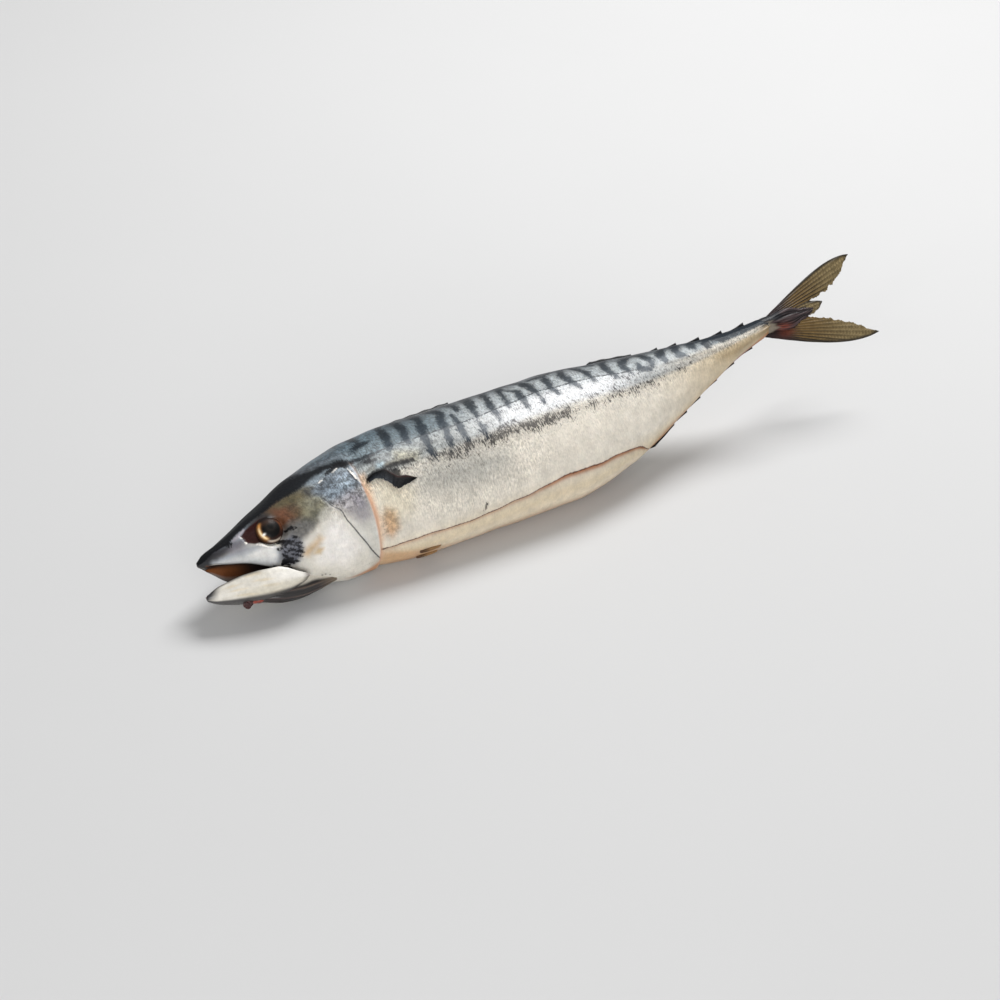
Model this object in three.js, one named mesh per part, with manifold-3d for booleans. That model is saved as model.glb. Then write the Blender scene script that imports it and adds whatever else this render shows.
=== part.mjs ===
// A whole raw mackerel, gutted and closed again, lying on its right flank on a flat surface. It is rolled
// back-up, its mouth is open and its tail is lifted. Millimetres, +Z up: the snout points along -X, the
// belly faces -Y and the left flank faces up. The origin is under the middle of the bounding box.
import * as THREE from "three";
import Module from "manifold-3d";

const wasm = await Module();
wasm.setup();

// ---------------------------------------------------------------------------------------------------------
// Driving dimensions. Every list of pairs is a profile along the fish: [distance from the snout, value].

const TRUNK_LENGTH = 313;
const BACK_HEIGHT = [
  [0, 1.2], [4, 3.8], [10, 5.6], [30, 13.8], [55, 23.7], [85, 30.4], [110, 32], [185, 32.2],
  [220, 26.2], [265, 14.5], [295, 6.8], [TRUNK_LENGTH, 4.2],
];
const BELLY_DEPTH = [
  [0, 0.7], [5, 2.6], [16, 7], [30, 14.5], [55, 23], [85, 29.5], [110, 31.7], [185, 32.2],
  [220, 26.6], [250, 18], [280, 9], [296, 5.8], [TRUNK_LENGTH, 4.4],
];
const HALF_WIDTH = [
  [0, 1], [4, 4], [10, 7], [30, 14.5], [55, 20.5], [85, 23.3], [130, 25], [185, 24.9],
  [220, 20.8], [265, 11.2], [TRUNK_LENGTH, 4],
];
const SPINE_ACROSS = [[0, 0], [55, 2.2], [110, 4], [250, 4], [TRUNK_LENGTH, 3]];
const SPINE_HEIGHT = [
  [0, 24], [70, 24], [150, 24.7], [185, 25.2], [220, 28.6], [265, 37.8], [TRUNK_LENGTH, 52],
];
const ROLL_DEGREES = [[0, 37], [30, 37], [85, 33], [185, 26], [235, 33], [TRUNK_LENGTH, 48]];

// The gill cover ends in a free edge, a step down to the skin behind it.
const GILL_START = 58;
const GILL_EDGE = 77.6;
const GILL_LIFT = 0.8;
const GILL_GAP = 0.8;
const GILL_GROOVE = 0.5;

// The belly slit runs from the gill cover to the vent. Its lower wall lies a little inside the upper one.
const SLIT_ANGLE = [[77, 26], [97, 30], [118, 27], [138, 28], [182, 36], [206, 33], [220, 26], [229, 3]];
const SLIT_REST_ANGLE = 30;
const SLIT_COLUMNS = [27.5, SLIT_REST_ANGLE, 31.4];
const SLIT_DEPTH = 1.6;
const SLIT_LIP = 0.4;

// The right side of the upper jaw has sagged below the left side.
const JAW_SAG = [[0, 0], [5, 2.8], [13, 8], [24, 5.5], [38, 0]];

// The lower jaw hangs open below the head; its rim, underside and half width along the fish.
const JAW_START = -1.8;
const JAW_END = 45;
const JAW_RIM = [[JAW_START, -14.7], [4, -13.3], [13, -12.8], [27, -14.2], [38, -17], [JAW_END, -21]];
const JAW_UNDERSIDE = [[JAW_START, -16.5], [2, -18.9], [13, -22.6], [26, -25.4], [36, -25.6], [JAW_END, -23]];
const JAW_HALF_WIDTH = [[JAW_START, 1.2], [4, 4.6], [13, 8], [25, 11.6], [36, 13.4], [JAW_END, 11.4]];
const MOUTH_START = 3.6;
const MOUTH_END = 38;
const PALATE = [[MOUTH_START, -2.4], [10, -1.8], [22, -4], [MOUTH_END, -11]];
const MOUTH_FLOOR = [[MOUTH_START, -16], [12, -18.4], [26, -20.2], [MOUTH_END, -17]];
const MOUTH_HALF_WIDTH = [[MOUTH_START, 1.6], [10, 4.6], [24, 8.6], [32, 9.4], [MOUTH_END, 5]];

// The throat sags below the cheeks while the mouth is open, with a tuft of gill showing in front of it.
const THROAT_START = 20;
const THROAT_END = 79;
const THROAT_UNDERSIDE = [[THROAT_START, -25], [32, -29.8], [48, -31], [62, -30.6], [THROAT_END, -26]];
const THROAT_HALF_WIDTH = [[THROAT_START, 3], [32, 7], [60, 7.6], [THROAT_END, 5]];
const THROAT_TOP = -12;
const GILL_TUFT_AT = [[15.5, -23.6], [20.5, -24.4]];
const GILL_TUFT_RADIUS = 2.6;

// Eyes: distance from the snout, angle round the head, size, and how deep the centre lies under the skin.
const EYE_AT = 32.8;
const EYE_ANGLE = 95;
const EYE_RADIUS = 6.3;
const EYE_HALF_DEPTH = 4;
const EYE_SUNK = 3.1;
const EYE_GAP = 0.3;

// Fins folded on the midline: start, end, and how far the front and the rear stand off the body.
const BACK_FINS = [[110, 147, 1.6, 3.4], [221, 243, 2.8, 1.4]];
const BELLY_FINS = [[230, 247, 1.4, 0.6]];
const FINLETS_AT = [249, 258.5, 270, 281.5, 293];
const FINLET_LENGTH = 7;
const FINLET_HEIGHTS = { back: 1.9, belly: 0.8 };
const FIN_THICKNESS = 1.4;
const FIN_ROOT_SINK = 2;

// Paired fins lie folded on the skin: [distance from the snout, angle round the body] of root and tip.
const PECTORAL = { rootTop: [80, 101], rootLow: [81, 90], tipTop: [103, 85], tipLow: [96, 78], lift: 1.2 };
const PELVIC = { rootTop: [96, 12], rootLow: [96, 6], tipTop: [116, 10], tipLow: [114, 6], lift: 1 };

// The tail fin lies in its own plane, [distance along, distance towards the back] from its root.
const TAIL_ROLL_DEGREES = 50;
const TAIL_RISE_DEGREES = 5;
const TAIL_UPPER_FRONT = [[-4, 2.6], [17, 11.4], [40, 24.3], [54.5, 21]];
const TAIL_UPPER_REAR = [[6, 0.5], [22, 4], [38.5, 1.2], [54, 20.2]];
const TAIL_LOWER_FRONT = [[-5, -5.8], [16, -14.5], [40, -24.5], [57.5, -20.8]];
const TAIL_LOWER_REAR = [[6, 0.5], [24, -0.5], [41, -8.6], [57.2, -20]];
const TAIL_TORN_FRONT = [[4, 3], [12, 4], [22, 3.6], [30.8, 2.3]];
const TAIL_TORN_REAR = [[4, -3], [12, -2.5], [22, -1], [30.6, 1.9]];
const TAIL_ROOT_THICKNESS = 2.8;
const TAIL_EDGE_THICKNESS = 0.8;
const TAIL_FLESH_DEPTH = [[-10, 4], [0, 5], [9, 7.4], [17, 6.2], [22, 2.6]];
const TAIL_FLESH_THICKNESS = [[-10, 3.6], [0, 3.2], [12, 2.2], [22, 0.8]];

const ROUND_COUNT = 34;
const STATION_STEP = [[0, 1.5], [20, 3.4], [90, 5.4], [250, 5.2], [TRUNK_LENGTH, 3.8]];

// ---------------------------------------------------------------------------------------------------------
// Helpers.

// A smooth curve through [position, value] pairs that never overshoots them (monotone cubic).
function profile(pairs) {
  const last = pairs.length - 1;
  const rise = (i) => (pairs[i + 1][1] - pairs[i][1]) / (pairs[i + 1][0] - pairs[i][0]);
  const slopes = pairs.map((_, i) => {
    if (i === 0 || i === last) {
      return rise(Math.min(i, last - 1));
    }
    const before = rise(i - 1);
    const after = rise(i);
    return before * after > 0 ? (2 * before * after) / (before + after) : 0;
  });
  return (at) => {
    const x = THREE.MathUtils.clamp(at, pairs[0][0], pairs[last][0]);
    const next = pairs.findIndex((pair) => pair[0] > x);
    const k = next < 0 ? last - 1 : next - 1;
    const width = pairs[k + 1][0] - pairs[k][0];
    const s = (x - pairs[k][0]) / width;
    const start = (1 + 2 * s) * (1 - s) ** 2 * pairs[k][1] + s * (1 - s) ** 2 * width * slopes[k];
    const end = s * s * (3 - 2 * s) * pairs[k + 1][1] + s * s * (s - 1) * width * slopes[k + 1];
    return start + end;
  };
}

// Positions from start to end, where the step at each place comes from a profile.
function stations(start, end, stepAt) {
  const found = [start];
  while (found[found.length - 1] + 1.4 * stepAt(found[found.length - 1]) < end) {
    found.push(found[found.length - 1] + stepAt(found[found.length - 1]));
  }
  return [...found, end];
}

// A closed solid through rings of points, with a fan over the first and the last ring.
function loft(rings) {
  const size = rings[0].length;
  const centres = [rings[0], rings[rings.length - 1]].map((ring) =>
    ring.reduce((sum, p) => sum.add(p), new THREE.Vector3()).divideScalar(size));
  const points = [...rings.flat(), ...centres];
  const triangles = [];
  for (let r = 0; r < rings.length - 1; r += 1) {
    for (let k = 0; k < size; k += 1) {
      const a = r * size + k;
      const b = r * size + ((k + 1) % size);
      triangles.push(a, b, b + size, a, b + size, a + size);
    }
  }
  const lastRing = (rings.length - 1) * size;
  for (let k = 0; k < size; k += 1) {
    const next = (k + 1) % size;
    triangles.push(points.length - 2, next, k, points.length - 1, lastRing + k, lastRing + next);
  }
  return solidOf(points.flatMap((p) => p.toArray()), triangles);
}

// A manifold solid from vertices and triangles, turned so that its faces point out.
function solidOf(vertices, triangles) {
  const make = (list) => new wasm.Manifold(new wasm.Mesh({
    numProp: 3,
    vertProperties: new Float32Array(vertices),
    triVerts: new Uint32Array(list),
  }));
  const solid = make(triangles);
  return solid.volume() > 0 ? solid : make([...triangles].reverse());
}

function solidOfGeometry(geometry) {
  const found = new Map();
  const vertices = [];
  const place = geometry.getAttribute("position");
  const shared = Array.from({ length: place.count }, (_, i) => {
    const point = [place.getX(i), place.getY(i), place.getZ(i)];
    const key = point.map((value) => value.toFixed(4)).join();
    if (!found.has(key)) {
      found.set(key, found.size);
      vertices.push(...point);
    }
    return found.get(key);
  });
  const corners = Array.from(geometry.getIndex().array, (i) => shared[i]);
  const triangles = [];
  for (let i = 0; i < corners.length; i += 3) {
    const [a, b, c] = corners.slice(i, i + 3);
    if (a !== b && b !== c && c !== a) {
      triangles.push(a, b, c);
    }
  }
  return solidOf(vertices, triangles);
}

function geometryOf(solid) {
  const mesh = solid.getMesh();
  const geometry = new THREE.BufferGeometry();
  geometry.setAttribute("position", new THREE.BufferAttribute(mesh.vertProperties, 3));
  geometry.setIndex(new THREE.BufferAttribute(mesh.triVerts, 1));
  geometry.computeVertexNormals();
  return geometry;
}

// ---------------------------------------------------------------------------------------------------------
// The frame of the fish. At each distance from the snout, "back" runs to the back and "left" to the left
// flank, and both are square to X.

const acrossAt = profile(SPINE_ACROSS);
const heightAt = profile(SPINE_HEIGHT);
const rollAt = profile(ROLL_DEGREES);

function place(x, back, left) {
  const roll = THREE.MathUtils.degToRad(rollAt(x));
  return new THREE.Vector3(
    x,
    acrossAt(x) + back * Math.cos(roll) - left * Math.sin(roll),
    heightAt(x) + back * Math.sin(roll) + left * Math.cos(roll),
  );
}

// What rests on the surface is pressed flat.
function pressFlat(point) {
  point.z = Math.max(point.z, 0);
  return point;
}

const backAt = profile(BACK_HEIGHT);
const bellyAt = profile(BELLY_DEPTH);
const widthAt = profile(HALF_WIDTH);
const sagAt = profile(JAW_SAG);

// The plain body surface. The angle is 0 at the belly, 90 at the left flank and 180 at the back.
function skin(x, degrees, lift = 0) {
  const angle = THREE.MathUtils.degToRad(degrees);
  const depth = Math.cos(angle) > 0 ? bellyAt(x) : backAt(x);
  const width = widthAt(x);
  const out = new THREE.Vector2(-Math.cos(angle) / depth, Math.sin(angle) / width).normalize();
  const sag = sagAt(x) * Math.max(0, Math.cos(angle)) ** 0.5 * (1 - Math.sin(angle)) / 2;
  return place(x, -depth * Math.cos(angle) - sag + lift * out.x, width * Math.sin(angle) + lift * out.y);
}

// ---------------------------------------------------------------------------------------------------------
// Trunk and upper head.

const slitAt = profile(SLIT_ANGLE);
const slitStart = SLIT_ANGLE[0][0];
const slitEnd = SLIT_ANGLE[SLIT_ANGLE.length - 1][0];

function slitLift(x, angle) {
  const open = THREE.MathUtils.smoothstep(x, slitStart, slitStart + 8)
    * (1 - THREE.MathUtils.smoothstep(x, slitEnd - 6, slitEnd));
  const off = angle - SLIT_REST_ANGLE;
  if (off > 0) {
    return SLIT_LIP * open * Math.max(0, 1 - off / 12);
  }
  return -SLIT_DEPTH * open * Math.max(0, 1 + off / 11);
}

function gillLift(x, angle) {
  const fromBelly = Math.abs(((angle + 180) % 360) - 180);
  const side = 1 - THREE.MathUtils.smoothstep(fromBelly, 125, 160);
  if (x <= GILL_EDGE) {
    return GILL_LIFT * side * THREE.MathUtils.smoothstep(x, GILL_START, GILL_EDGE);
  }
  return -GILL_GROOVE * side * (1 - THREE.MathUtils.smoothstep(x, GILL_EDGE + GILL_GAP, GILL_EDGE + 9));
}

function trunk() {
  const even = Array.from({ length: ROUND_COUNT }, (_, k) => (360 * k) / ROUND_COUNT);
  const clear = even.filter((angle) => angle < SLIT_COLUMNS[0] - 2 || angle > SLIT_COLUMNS[2] + 2);
  const columns = [...clear, ...SLIT_COLUMNS].sort((a, b) => a - b);
  const step = profile(STATION_STEP);
  const along = [
    ...stations(0, GILL_EDGE, step),
    ...stations(GILL_EDGE + GILL_GAP, TRUNK_LENGTH, step),
  ];
  return loft(along.map((x) => columns.map((column) => {
    const fromSlit = Math.abs(((column - SLIT_REST_ANGLE + 180) % 360) - 180);
    const pull = Math.max(0, 1 - fromSlit / 60) * (slitAt(x) - SLIT_REST_ANGLE);
    return pressFlat(skin(x, column + pull, slitLift(x, column) + gillLift(x, column)));
  })));
}

// A solid between an upper and a lower profile of the section, with a given half width.
function sectionLoft({ start, end, step, upper, lower, halfWidth, squareness, count = 20 }) {
  const shape = (value) => Math.sign(value) * Math.abs(value) ** squareness;
  return loft(stations(start, end, () => step).map((x) => {
    const middle = (upper(x) + lower(x)) / 2;
    const half = (upper(x) - lower(x)) / 2;
    return Array.from({ length: count }, (_, k) => {
      const angle = (2 * Math.PI * k) / count;
      const back = middle - half * shape(Math.cos(angle));
      return pressFlat(place(x, back, halfWidth(x) * shape(Math.sin(angle))));
    });
  }));
}

const lowerJaw = () => sectionLoft({
  start: JAW_START,
  end: JAW_END,
  step: 2.6,
  upper: profile(JAW_RIM),
  lower: profile(JAW_UNDERSIDE),
  halfWidth: profile(JAW_HALF_WIDTH),
  squareness: 0.72,
  count: 24,
});

const mouthSpace = () => sectionLoft({
  start: MOUTH_START,
  end: MOUTH_END,
  step: 3,
  upper: profile(PALATE),
  lower: profile(MOUTH_FLOOR),
  halfWidth: profile(MOUTH_HALF_WIDTH),
  squareness: 0.85,
});

const throat = () => sectionLoft({
  start: THROAT_START,
  end: THROAT_END,
  step: 6,
  upper: () => THROAT_TOP,
  lower: profile(THROAT_UNDERSIDE),
  halfWidth: profile(THROAT_HALF_WIDTH),
  squareness: 0.9,
});

function gillTuft([x, back]) {
  const ball = new THREE.SphereGeometry(GILL_TUFT_RADIUS, 10, 8).scale(1.3, 0.8, 1);
  return solidOfGeometry(ball.translate(...place(x, back, 0).toArray()));
}

// ---------------------------------------------------------------------------------------------------------
// Eyes. The side is 1 for the left eye and -1 for the right one.

function eyeGeometry(side, gap) {
  const outer = skin(EYE_AT, side * EYE_ANGLE);
  const outward = skin(EYE_AT, side * EYE_ANGLE, 1).sub(outer);
  const pole = new THREE.Vector3(0, 0, 1);
  const turn = new THREE.Quaternion().setFromUnitVectors(pole, outward.clone().normalize());
  return new THREE.SphereGeometry(1, 18, 12)
    .rotateX(Math.PI / 2)
    .scale(EYE_RADIUS + gap, EYE_RADIUS + gap, EYE_HALF_DEPTH + gap)
    .applyQuaternion(turn)
    .translate(...outer.addScaledVector(outward, -EYE_SUNK).toArray());
}

// ---------------------------------------------------------------------------------------------------------
// Fins. A blade is a thin solid between a front and a rear edge, with sharp edges and a thicker middle.

function blade({ front, rear, thickness, steps, normal }) {
  const parts = [0, 0.3, 0.7, 1];
  const rings = Array.from({ length: steps + 1 }, (_, i) => {
    const s = i / steps;
    const half = thickness(s) / 2;
    const across = parts.map((part) => front(s).lerp(rear(s), part));
    const out = normal(s);
    const edge = 0.35 * half;
    const halves = [edge, half, half, edge];
    return [
      ...across.map((p, k) => p.clone().addScaledVector(out, halves[k])),
      ...across.map((p, k) => p.clone().addScaledVector(out, -halves[k])).reverse(),
    ];
  });
  return loft(rings.map((ring) => ring.map(pressFlat)));
}

// A low folded fin on the midline: angle 180 for the back, 0 for the belly.
function midlineFin([start, end, frontHeight, rearHeight], angle) {
  const at = (s) => THREE.MathUtils.lerp(start, end, s);
  const rim = (s) => THREE.MathUtils.lerp(frontHeight, rearHeight, s) * Math.min(1, 5 * s + 0.15);
  return blade({
    front: (s) => skin(at(s), angle, -FIN_ROOT_SINK),
    rear: (s) => skin(at(s), angle, rim(s)),
    thickness: () => FIN_THICKNESS,
    steps: 8,
    normal: (s) => skin(at(s), angle + 90).sub(skin(at(s), angle - 90)).normalize(),
  });
}

// A finlet is a small swept flag: its tip points to the tail.
function finlet(x, angle, height) {
  return blade({
    front: (s) => skin(x + FINLET_LENGTH * s, angle, -FIN_ROOT_SINK),
    rear: (s) => skin(x + FINLET_LENGTH * s, angle, height * (0.1 + 0.9 * s ** 1.3)),
    thickness: (s) => FIN_THICKNESS * (1 - 0.4 * s),
    steps: 3,
    normal: () => skin(x, angle + 90).sub(skin(x, angle - 90)).normalize(),
  });
}

// A paired fin folded on the skin. The side is 1 for the left flank and -1 for the right one.
function foldedFin({ rootTop, rootLow, tipTop, tipLow, lift }, side) {
  const edge = (root, tip) => (s) => skin(
    THREE.MathUtils.lerp(root[0], tip[0], s),
    side * THREE.MathUtils.lerp(root[1], tip[1], s),
    lift * (0.2 + 0.8 * s) - FIN_THICKNESS / 2,
  );
  const middle = (rootTop[1] + rootLow[1]) / 2;
  const outward = skin(rootTop[0], side * middle, 1).sub(skin(rootTop[0], side * middle));
  return blade({
    front: edge(rootTop, tipTop),
    rear: edge(rootLow, tipLow),
    thickness: () => FIN_THICKNESS + FIN_ROOT_SINK / 2,
    steps: 4,
    normal: () => outward,
  });
}

function tailPlace(along, back, left = 0) {
  const roll = THREE.MathUtils.degToRad(TAIL_ROLL_DEGREES);
  const rise = THREE.MathUtils.degToRad(TAIL_RISE_DEGREES);
  const toBack = new THREE.Vector3(0, Math.cos(roll), Math.sin(roll));
  const toLeft = new THREE.Vector3(0, -Math.sin(roll), Math.cos(roll));
  const toEnd = new THREE.Vector3(Math.cos(rise), 0, 0).addScaledVector(toLeft, Math.sin(rise));
  return place(TRUNK_LENGTH, 0, 0)
    .addScaledVector(toEnd, along)
    .addScaledVector(toBack, back)
    .addScaledVector(toLeft, left);
}

function tailLobe(front, rear) {
  const curve = (corners) => {
    const flat = new THREE.CubicBezierCurve(...corners.map((corner) => new THREE.Vector2(...corner)));
    return (s) => tailPlace(...flat.getPoint(s).toArray());
  };
  const normal = tailPlace(0, 0, 1).sub(tailPlace(0, 0, 0));
  return blade({
    front: curve(front),
    rear: curve(rear),
    thickness: (s) => THREE.MathUtils.lerp(TAIL_ROOT_THICKNESS, TAIL_EDGE_THICKNESS, s ** 0.5),
    steps: 14,
    normal: () => normal,
  });
}

function tailFlesh() {
  const depth = profile(TAIL_FLESH_DEPTH);
  const thickness = profile(TAIL_FLESH_THICKNESS);
  const start = TAIL_FLESH_DEPTH[0][0];
  const end = TAIL_FLESH_DEPTH[TAIL_FLESH_DEPTH.length - 1][0];
  return loft(stations(start, end, () => 3).map((along) => Array.from({ length: 16 }, (_, k) => {
    const angle = (2 * Math.PI * k) / 16;
    return tailPlace(along, -0.8 + depth(along) * Math.cos(angle), thickness(along) * Math.sin(angle));
  })));
}

// ---------------------------------------------------------------------------------------------------------
// Assembly.

function fishSolid() {
  const pieces = [
    trunk(),
    throat(),
    ...GILL_TUFT_AT.map(gillTuft),
    tailFlesh(),
    tailLobe(TAIL_UPPER_FRONT, TAIL_UPPER_REAR),
    tailLobe(TAIL_LOWER_FRONT, TAIL_LOWER_REAR),
    tailLobe(TAIL_TORN_FRONT, TAIL_TORN_REAR),
    ...BACK_FINS.map((fin) => midlineFin(fin, 180)),
    ...BELLY_FINS.map((fin) => midlineFin(fin, 0)),
    ...FINLETS_AT.flatMap((x) => [finlet(x, 180, FINLET_HEIGHTS.back), finlet(x, 0, FINLET_HEIGHTS.belly)]),
    ...[1, -1].flatMap((side) => [foldedFin(PECTORAL, side), foldedFin(PELVIC, side)]),
  ];
  let solid = lowerJaw();
  for (const piece of pieces) {
    solid = solid.add(piece);
  }
  const sockets = [1, -1].map((side) => solidOfGeometry(eyeGeometry(side, EYE_GAP)));
  for (const hollow of [mouthSpace(), ...sockets]) {
    solid = solid.subtract(hollow);
  }
  return solid;
}

function eye(side, name) {
  const material = new THREE.MeshStandardMaterial({ color: 0x2a201c, roughness: 0.12, metalness: 0 });
  const mesh = new THREE.Mesh(geometryOf(solidOfGeometry(eyeGeometry(side, 0))), material);
  mesh.name = name;
  return mesh;
}

const skinMaterial = new THREE.MeshStandardMaterial({ color: 0x8d9498, roughness: 0.32, metalness: 0.25 });
const fish = new THREE.Mesh(geometryOf(fishSolid()), skinMaterial);
fish.name = "fish";

const whole = new THREE.Group();
whole.add(fish, eye(1, "eye_left"), eye(-1, "eye_right"));

// The origin moves under the middle of the bounding box.
const bounds = new THREE.Box3().setFromObject(whole);
const centre = bounds.getCenter(new THREE.Vector3());
whole.position.set(-centre.x, -centre.y, -bounds.min.z);
whole.updateMatrixWorld(true);

export default whole;
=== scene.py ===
import math

import bmesh
import bpy
import numpy as np
from mathutils import Matrix, Vector


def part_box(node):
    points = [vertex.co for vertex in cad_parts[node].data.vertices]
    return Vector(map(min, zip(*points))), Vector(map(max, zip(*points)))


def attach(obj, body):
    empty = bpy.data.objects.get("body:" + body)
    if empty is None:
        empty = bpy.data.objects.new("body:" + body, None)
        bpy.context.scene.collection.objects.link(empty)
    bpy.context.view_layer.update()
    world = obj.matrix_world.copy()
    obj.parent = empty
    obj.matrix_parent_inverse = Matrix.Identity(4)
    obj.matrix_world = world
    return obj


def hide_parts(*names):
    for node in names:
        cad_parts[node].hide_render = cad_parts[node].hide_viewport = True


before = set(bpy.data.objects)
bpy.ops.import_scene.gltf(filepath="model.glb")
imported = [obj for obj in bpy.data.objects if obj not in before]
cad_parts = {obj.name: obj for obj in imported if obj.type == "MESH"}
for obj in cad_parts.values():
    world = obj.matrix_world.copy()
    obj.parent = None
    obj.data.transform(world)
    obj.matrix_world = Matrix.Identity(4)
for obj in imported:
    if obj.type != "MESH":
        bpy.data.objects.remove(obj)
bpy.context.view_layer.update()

# ----------------------------------------------------------------------------------------------------
# The skin of the whole fish: one closed hide from the snout to the root of the tail, with the mouth roof,
# the eye sockets, the gill covers and the cut along the belly. It is raw and wet, and lies rolled on its
# right side. Lengths are mm from the snout and angles are degrees from the belly, round to the back.


def profile(*pairs):
    """A smooth curve through (place, value) pairs that never overshoots them."""
    at, value = (np.array(column, float) for column in zip(*pairs))
    rise = np.diff(value) / np.diff(at)
    slope = np.concatenate([rise[:1], np.zeros(len(at) - 2), rise[-1:]])
    product, total = rise[:-1] * rise[1:], rise[:-1] + rise[1:]
    slope[1:-1] = np.where(product > 0, 2 * product / np.where(product > 0, total, 1), 0)

    def curve(x):
        x = np.clip(np.asarray(x, float), at[0], at[-1])
        k = np.clip(np.searchsorted(at, x, side="right") - 1, 0, len(at) - 2)
        width = at[k + 1] - at[k]
        s = (x - at[k]) / width
        start = (1 + 2 * s) * (1 - s) ** 2 * value[k] + s * (1 - s) ** 2 * width * slope[k]
        return start + s * s * (3 - 2 * s) * value[k + 1] + s * s * (s - 1) * width * slope[k + 1]

    return curve


def ease(x, low, high):
    s = np.clip((x - low) / (high - low), 0, 1)
    return s * s * (3 - 2 * s)


TRUNK_END = 313
back_height = profile((0, 1.2), (4, 3.8), (10, 5.6), (30, 13.8), (55, 23.7), (85, 30.4), (110, 32),
                      (185, 32.2), (220, 26.2), (265, 14.5), (295, 6.8), (TRUNK_END, 4.2))
belly_depth = profile((0, .7), (5, 2.6), (16, 7), (30, 14.5), (55, 23), (85, 29.5), (110, 31.7),
                      (185, 32.2), (220, 26.6), (250, 18), (280, 9), (296, 5.8), (TRUNK_END, 4.4))
half_width = profile((0, 1), (4, 4), (10, 7), (30, 14.5), (55, 20.5), (85, 23.3), (130, 25), (185, 24.9),
                     (220, 20.8), (265, 11.2), (TRUNK_END, 4))
spine_across = profile((0, 0), (55, 2.2), (110, 4), (250, 4), (TRUNK_END, 3))
spine_height = profile((0, 24), (70, 24), (150, 24.7), (185, 25.2), (220, 28.6), (265, 37.8),
                       (TRUNK_END, 52))
roll_degrees = profile((0, 37), (30, 37), (85, 33), (185, 26), (235, 33), (TRUNK_END, 48))
jaw_sag = profile((0, 0), (5, 2.8), (13, 8), (24, 5.5), (38, 0))
belly_squareness = profile((0, .95), (6, .8), (30, .74), (48, .85), (66, 1))


def place(x, back, left):
    """A point of the fish: back runs to the back and left to the left flank, both square to the spine."""
    roll = np.radians(roll_degrees(x))
    across = spine_across(x) + back * np.cos(roll) - left * np.sin(roll)
    height = spine_height(x) + back * np.sin(roll) + left * np.cos(roll)
    return np.stack(np.broadcast_arrays(x, across, np.maximum(height, 0)), -1)


def section(x, t, lift=0):
    x, t = np.broadcast_arrays(np.asarray(x, float), np.asarray(t, float))
    cos, sin = np.cos(np.radians(t)), np.sin(np.radians(t))
    depth = np.where(cos > 0, belly_depth(x), back_height(x))
    width = half_width(x)
    power = np.where(cos > 0, belly_squareness(x), 1)
    sag = jaw_sag(x) * np.maximum(cos, 0) ** .5 * (1 - sin) / 2
    length = np.hypot(cos / depth, sin / width)
    back = -depth * np.sign(cos) * np.abs(cos) ** power - sag - lift * cos / depth / length
    return back, width * np.sign(sin) * np.abs(sin) ** power + lift * sin / width / length


def skin(x, t, lift=0):
    return place(x, *section(x, t, lift))


def mm_per_degree(x):
    return math.pi / 180 * (half_width(x) / 2 + back_height(x) / 4 + belly_depth(x) / 4)


def stroke(x, t, knots, half, taper):
    """How far inside a painted stroke each point of the skin is, in mm. Outside it is negative."""
    inside = np.full(np.shape(x), -9.)
    count = len(knots) - 1
    for k, ((x0, t0), (x1, t1)) in enumerate(zip(knots, knots[1:])):
        scale = mm_per_degree((x0 + x1) / 2)
        along, round_ = x1 - x0, (t1 - t0) * scale
        s = np.clip(((x - x0) * along + (t - t0) * scale * round_) / (along ** 2 + round_ ** 2), 0, 1)
        gap = np.hypot(x - x0 - s * along, (t - t0) * scale - s * round_)
        ends = np.abs(2 * (k + s) / count - 1) ** 2
        inside = np.maximum(inside, half * (1 - taper * ends) - gap)
    return inside


def strokes(x, t, lines, swell, taper):
    """The same for the nearest of several strokes, each given as the half of its width and its knots."""
    return np.max([stroke(x, t, knots, half * swell, taper) for half, knots in lines], 0)


def patch(x, t, corners):
    """How far inside a closed patch each point of the skin is, in mm. Outside it is negative."""
    scale = mm_per_degree(sum(corner[0] for corner in corners) / len(corners))
    nearest = np.full(np.shape(x), 99.)
    inside = np.zeros(np.shape(x), bool)
    for (x0, t0), (x1, t1) in zip(corners, corners[1:] + corners[:1]):
        along, round_ = x1 - x0, (t1 - t0) * scale
        s = np.clip(((x - x0) * along + (t - t0) * scale * round_) / (along ** 2 + round_ ** 2), 0, 1)
        nearest = np.minimum(nearest, np.hypot(x - x0 - s * along, (t - t0) * scale - s * round_))
        if t0 != t1:
            inside ^= ((t0 > t) != (t1 > t)) & (x < x0 + (t - t0) / (t1 - t0) * along)
    return np.where(inside, nearest, -nearest)


# Fish mm go to the frame of the solids by the lowest corner of the left eye, which both know.
EYE_CORNER = (26.5, -10.794, 29.623)
shift = np.array(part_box("eye_left")[0]) * 1000 - EYE_CORNER


def in_frame(points):
    return (np.asarray(points) + shift) / 1000


def finish_piece(piece, surface, node="fish"):
    piece.data.materials.append(surface.material)
    for face in piece.data.polygons:
        face.use_smooth = True
    bpy.context.scene.collection.objects.link(piece)
    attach(piece, "root")
    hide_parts(node)


def made(name, net):
    """The object that a finished bmesh becomes."""
    mesh = bpy.data.meshes.new(name)
    net.to_mesh(mesh)
    net.free()
    return bpy.data.objects.new(name, mesh)


def paint_layer(mesh, key, values):
    """Paints a number or a colour on every vertex of a mesh."""
    if values.ndim == 1:
        mesh.attributes.new(key, "FLOAT", "POINT").data.foreach_set("value", values)
    else:
        colours = np.concatenate([values, np.ones((len(values), 1))], 1)
        mesh.attributes.new(key, "FLOAT_COLOR", "POINT").data.foreach_set("color", colours.ravel())


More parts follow.
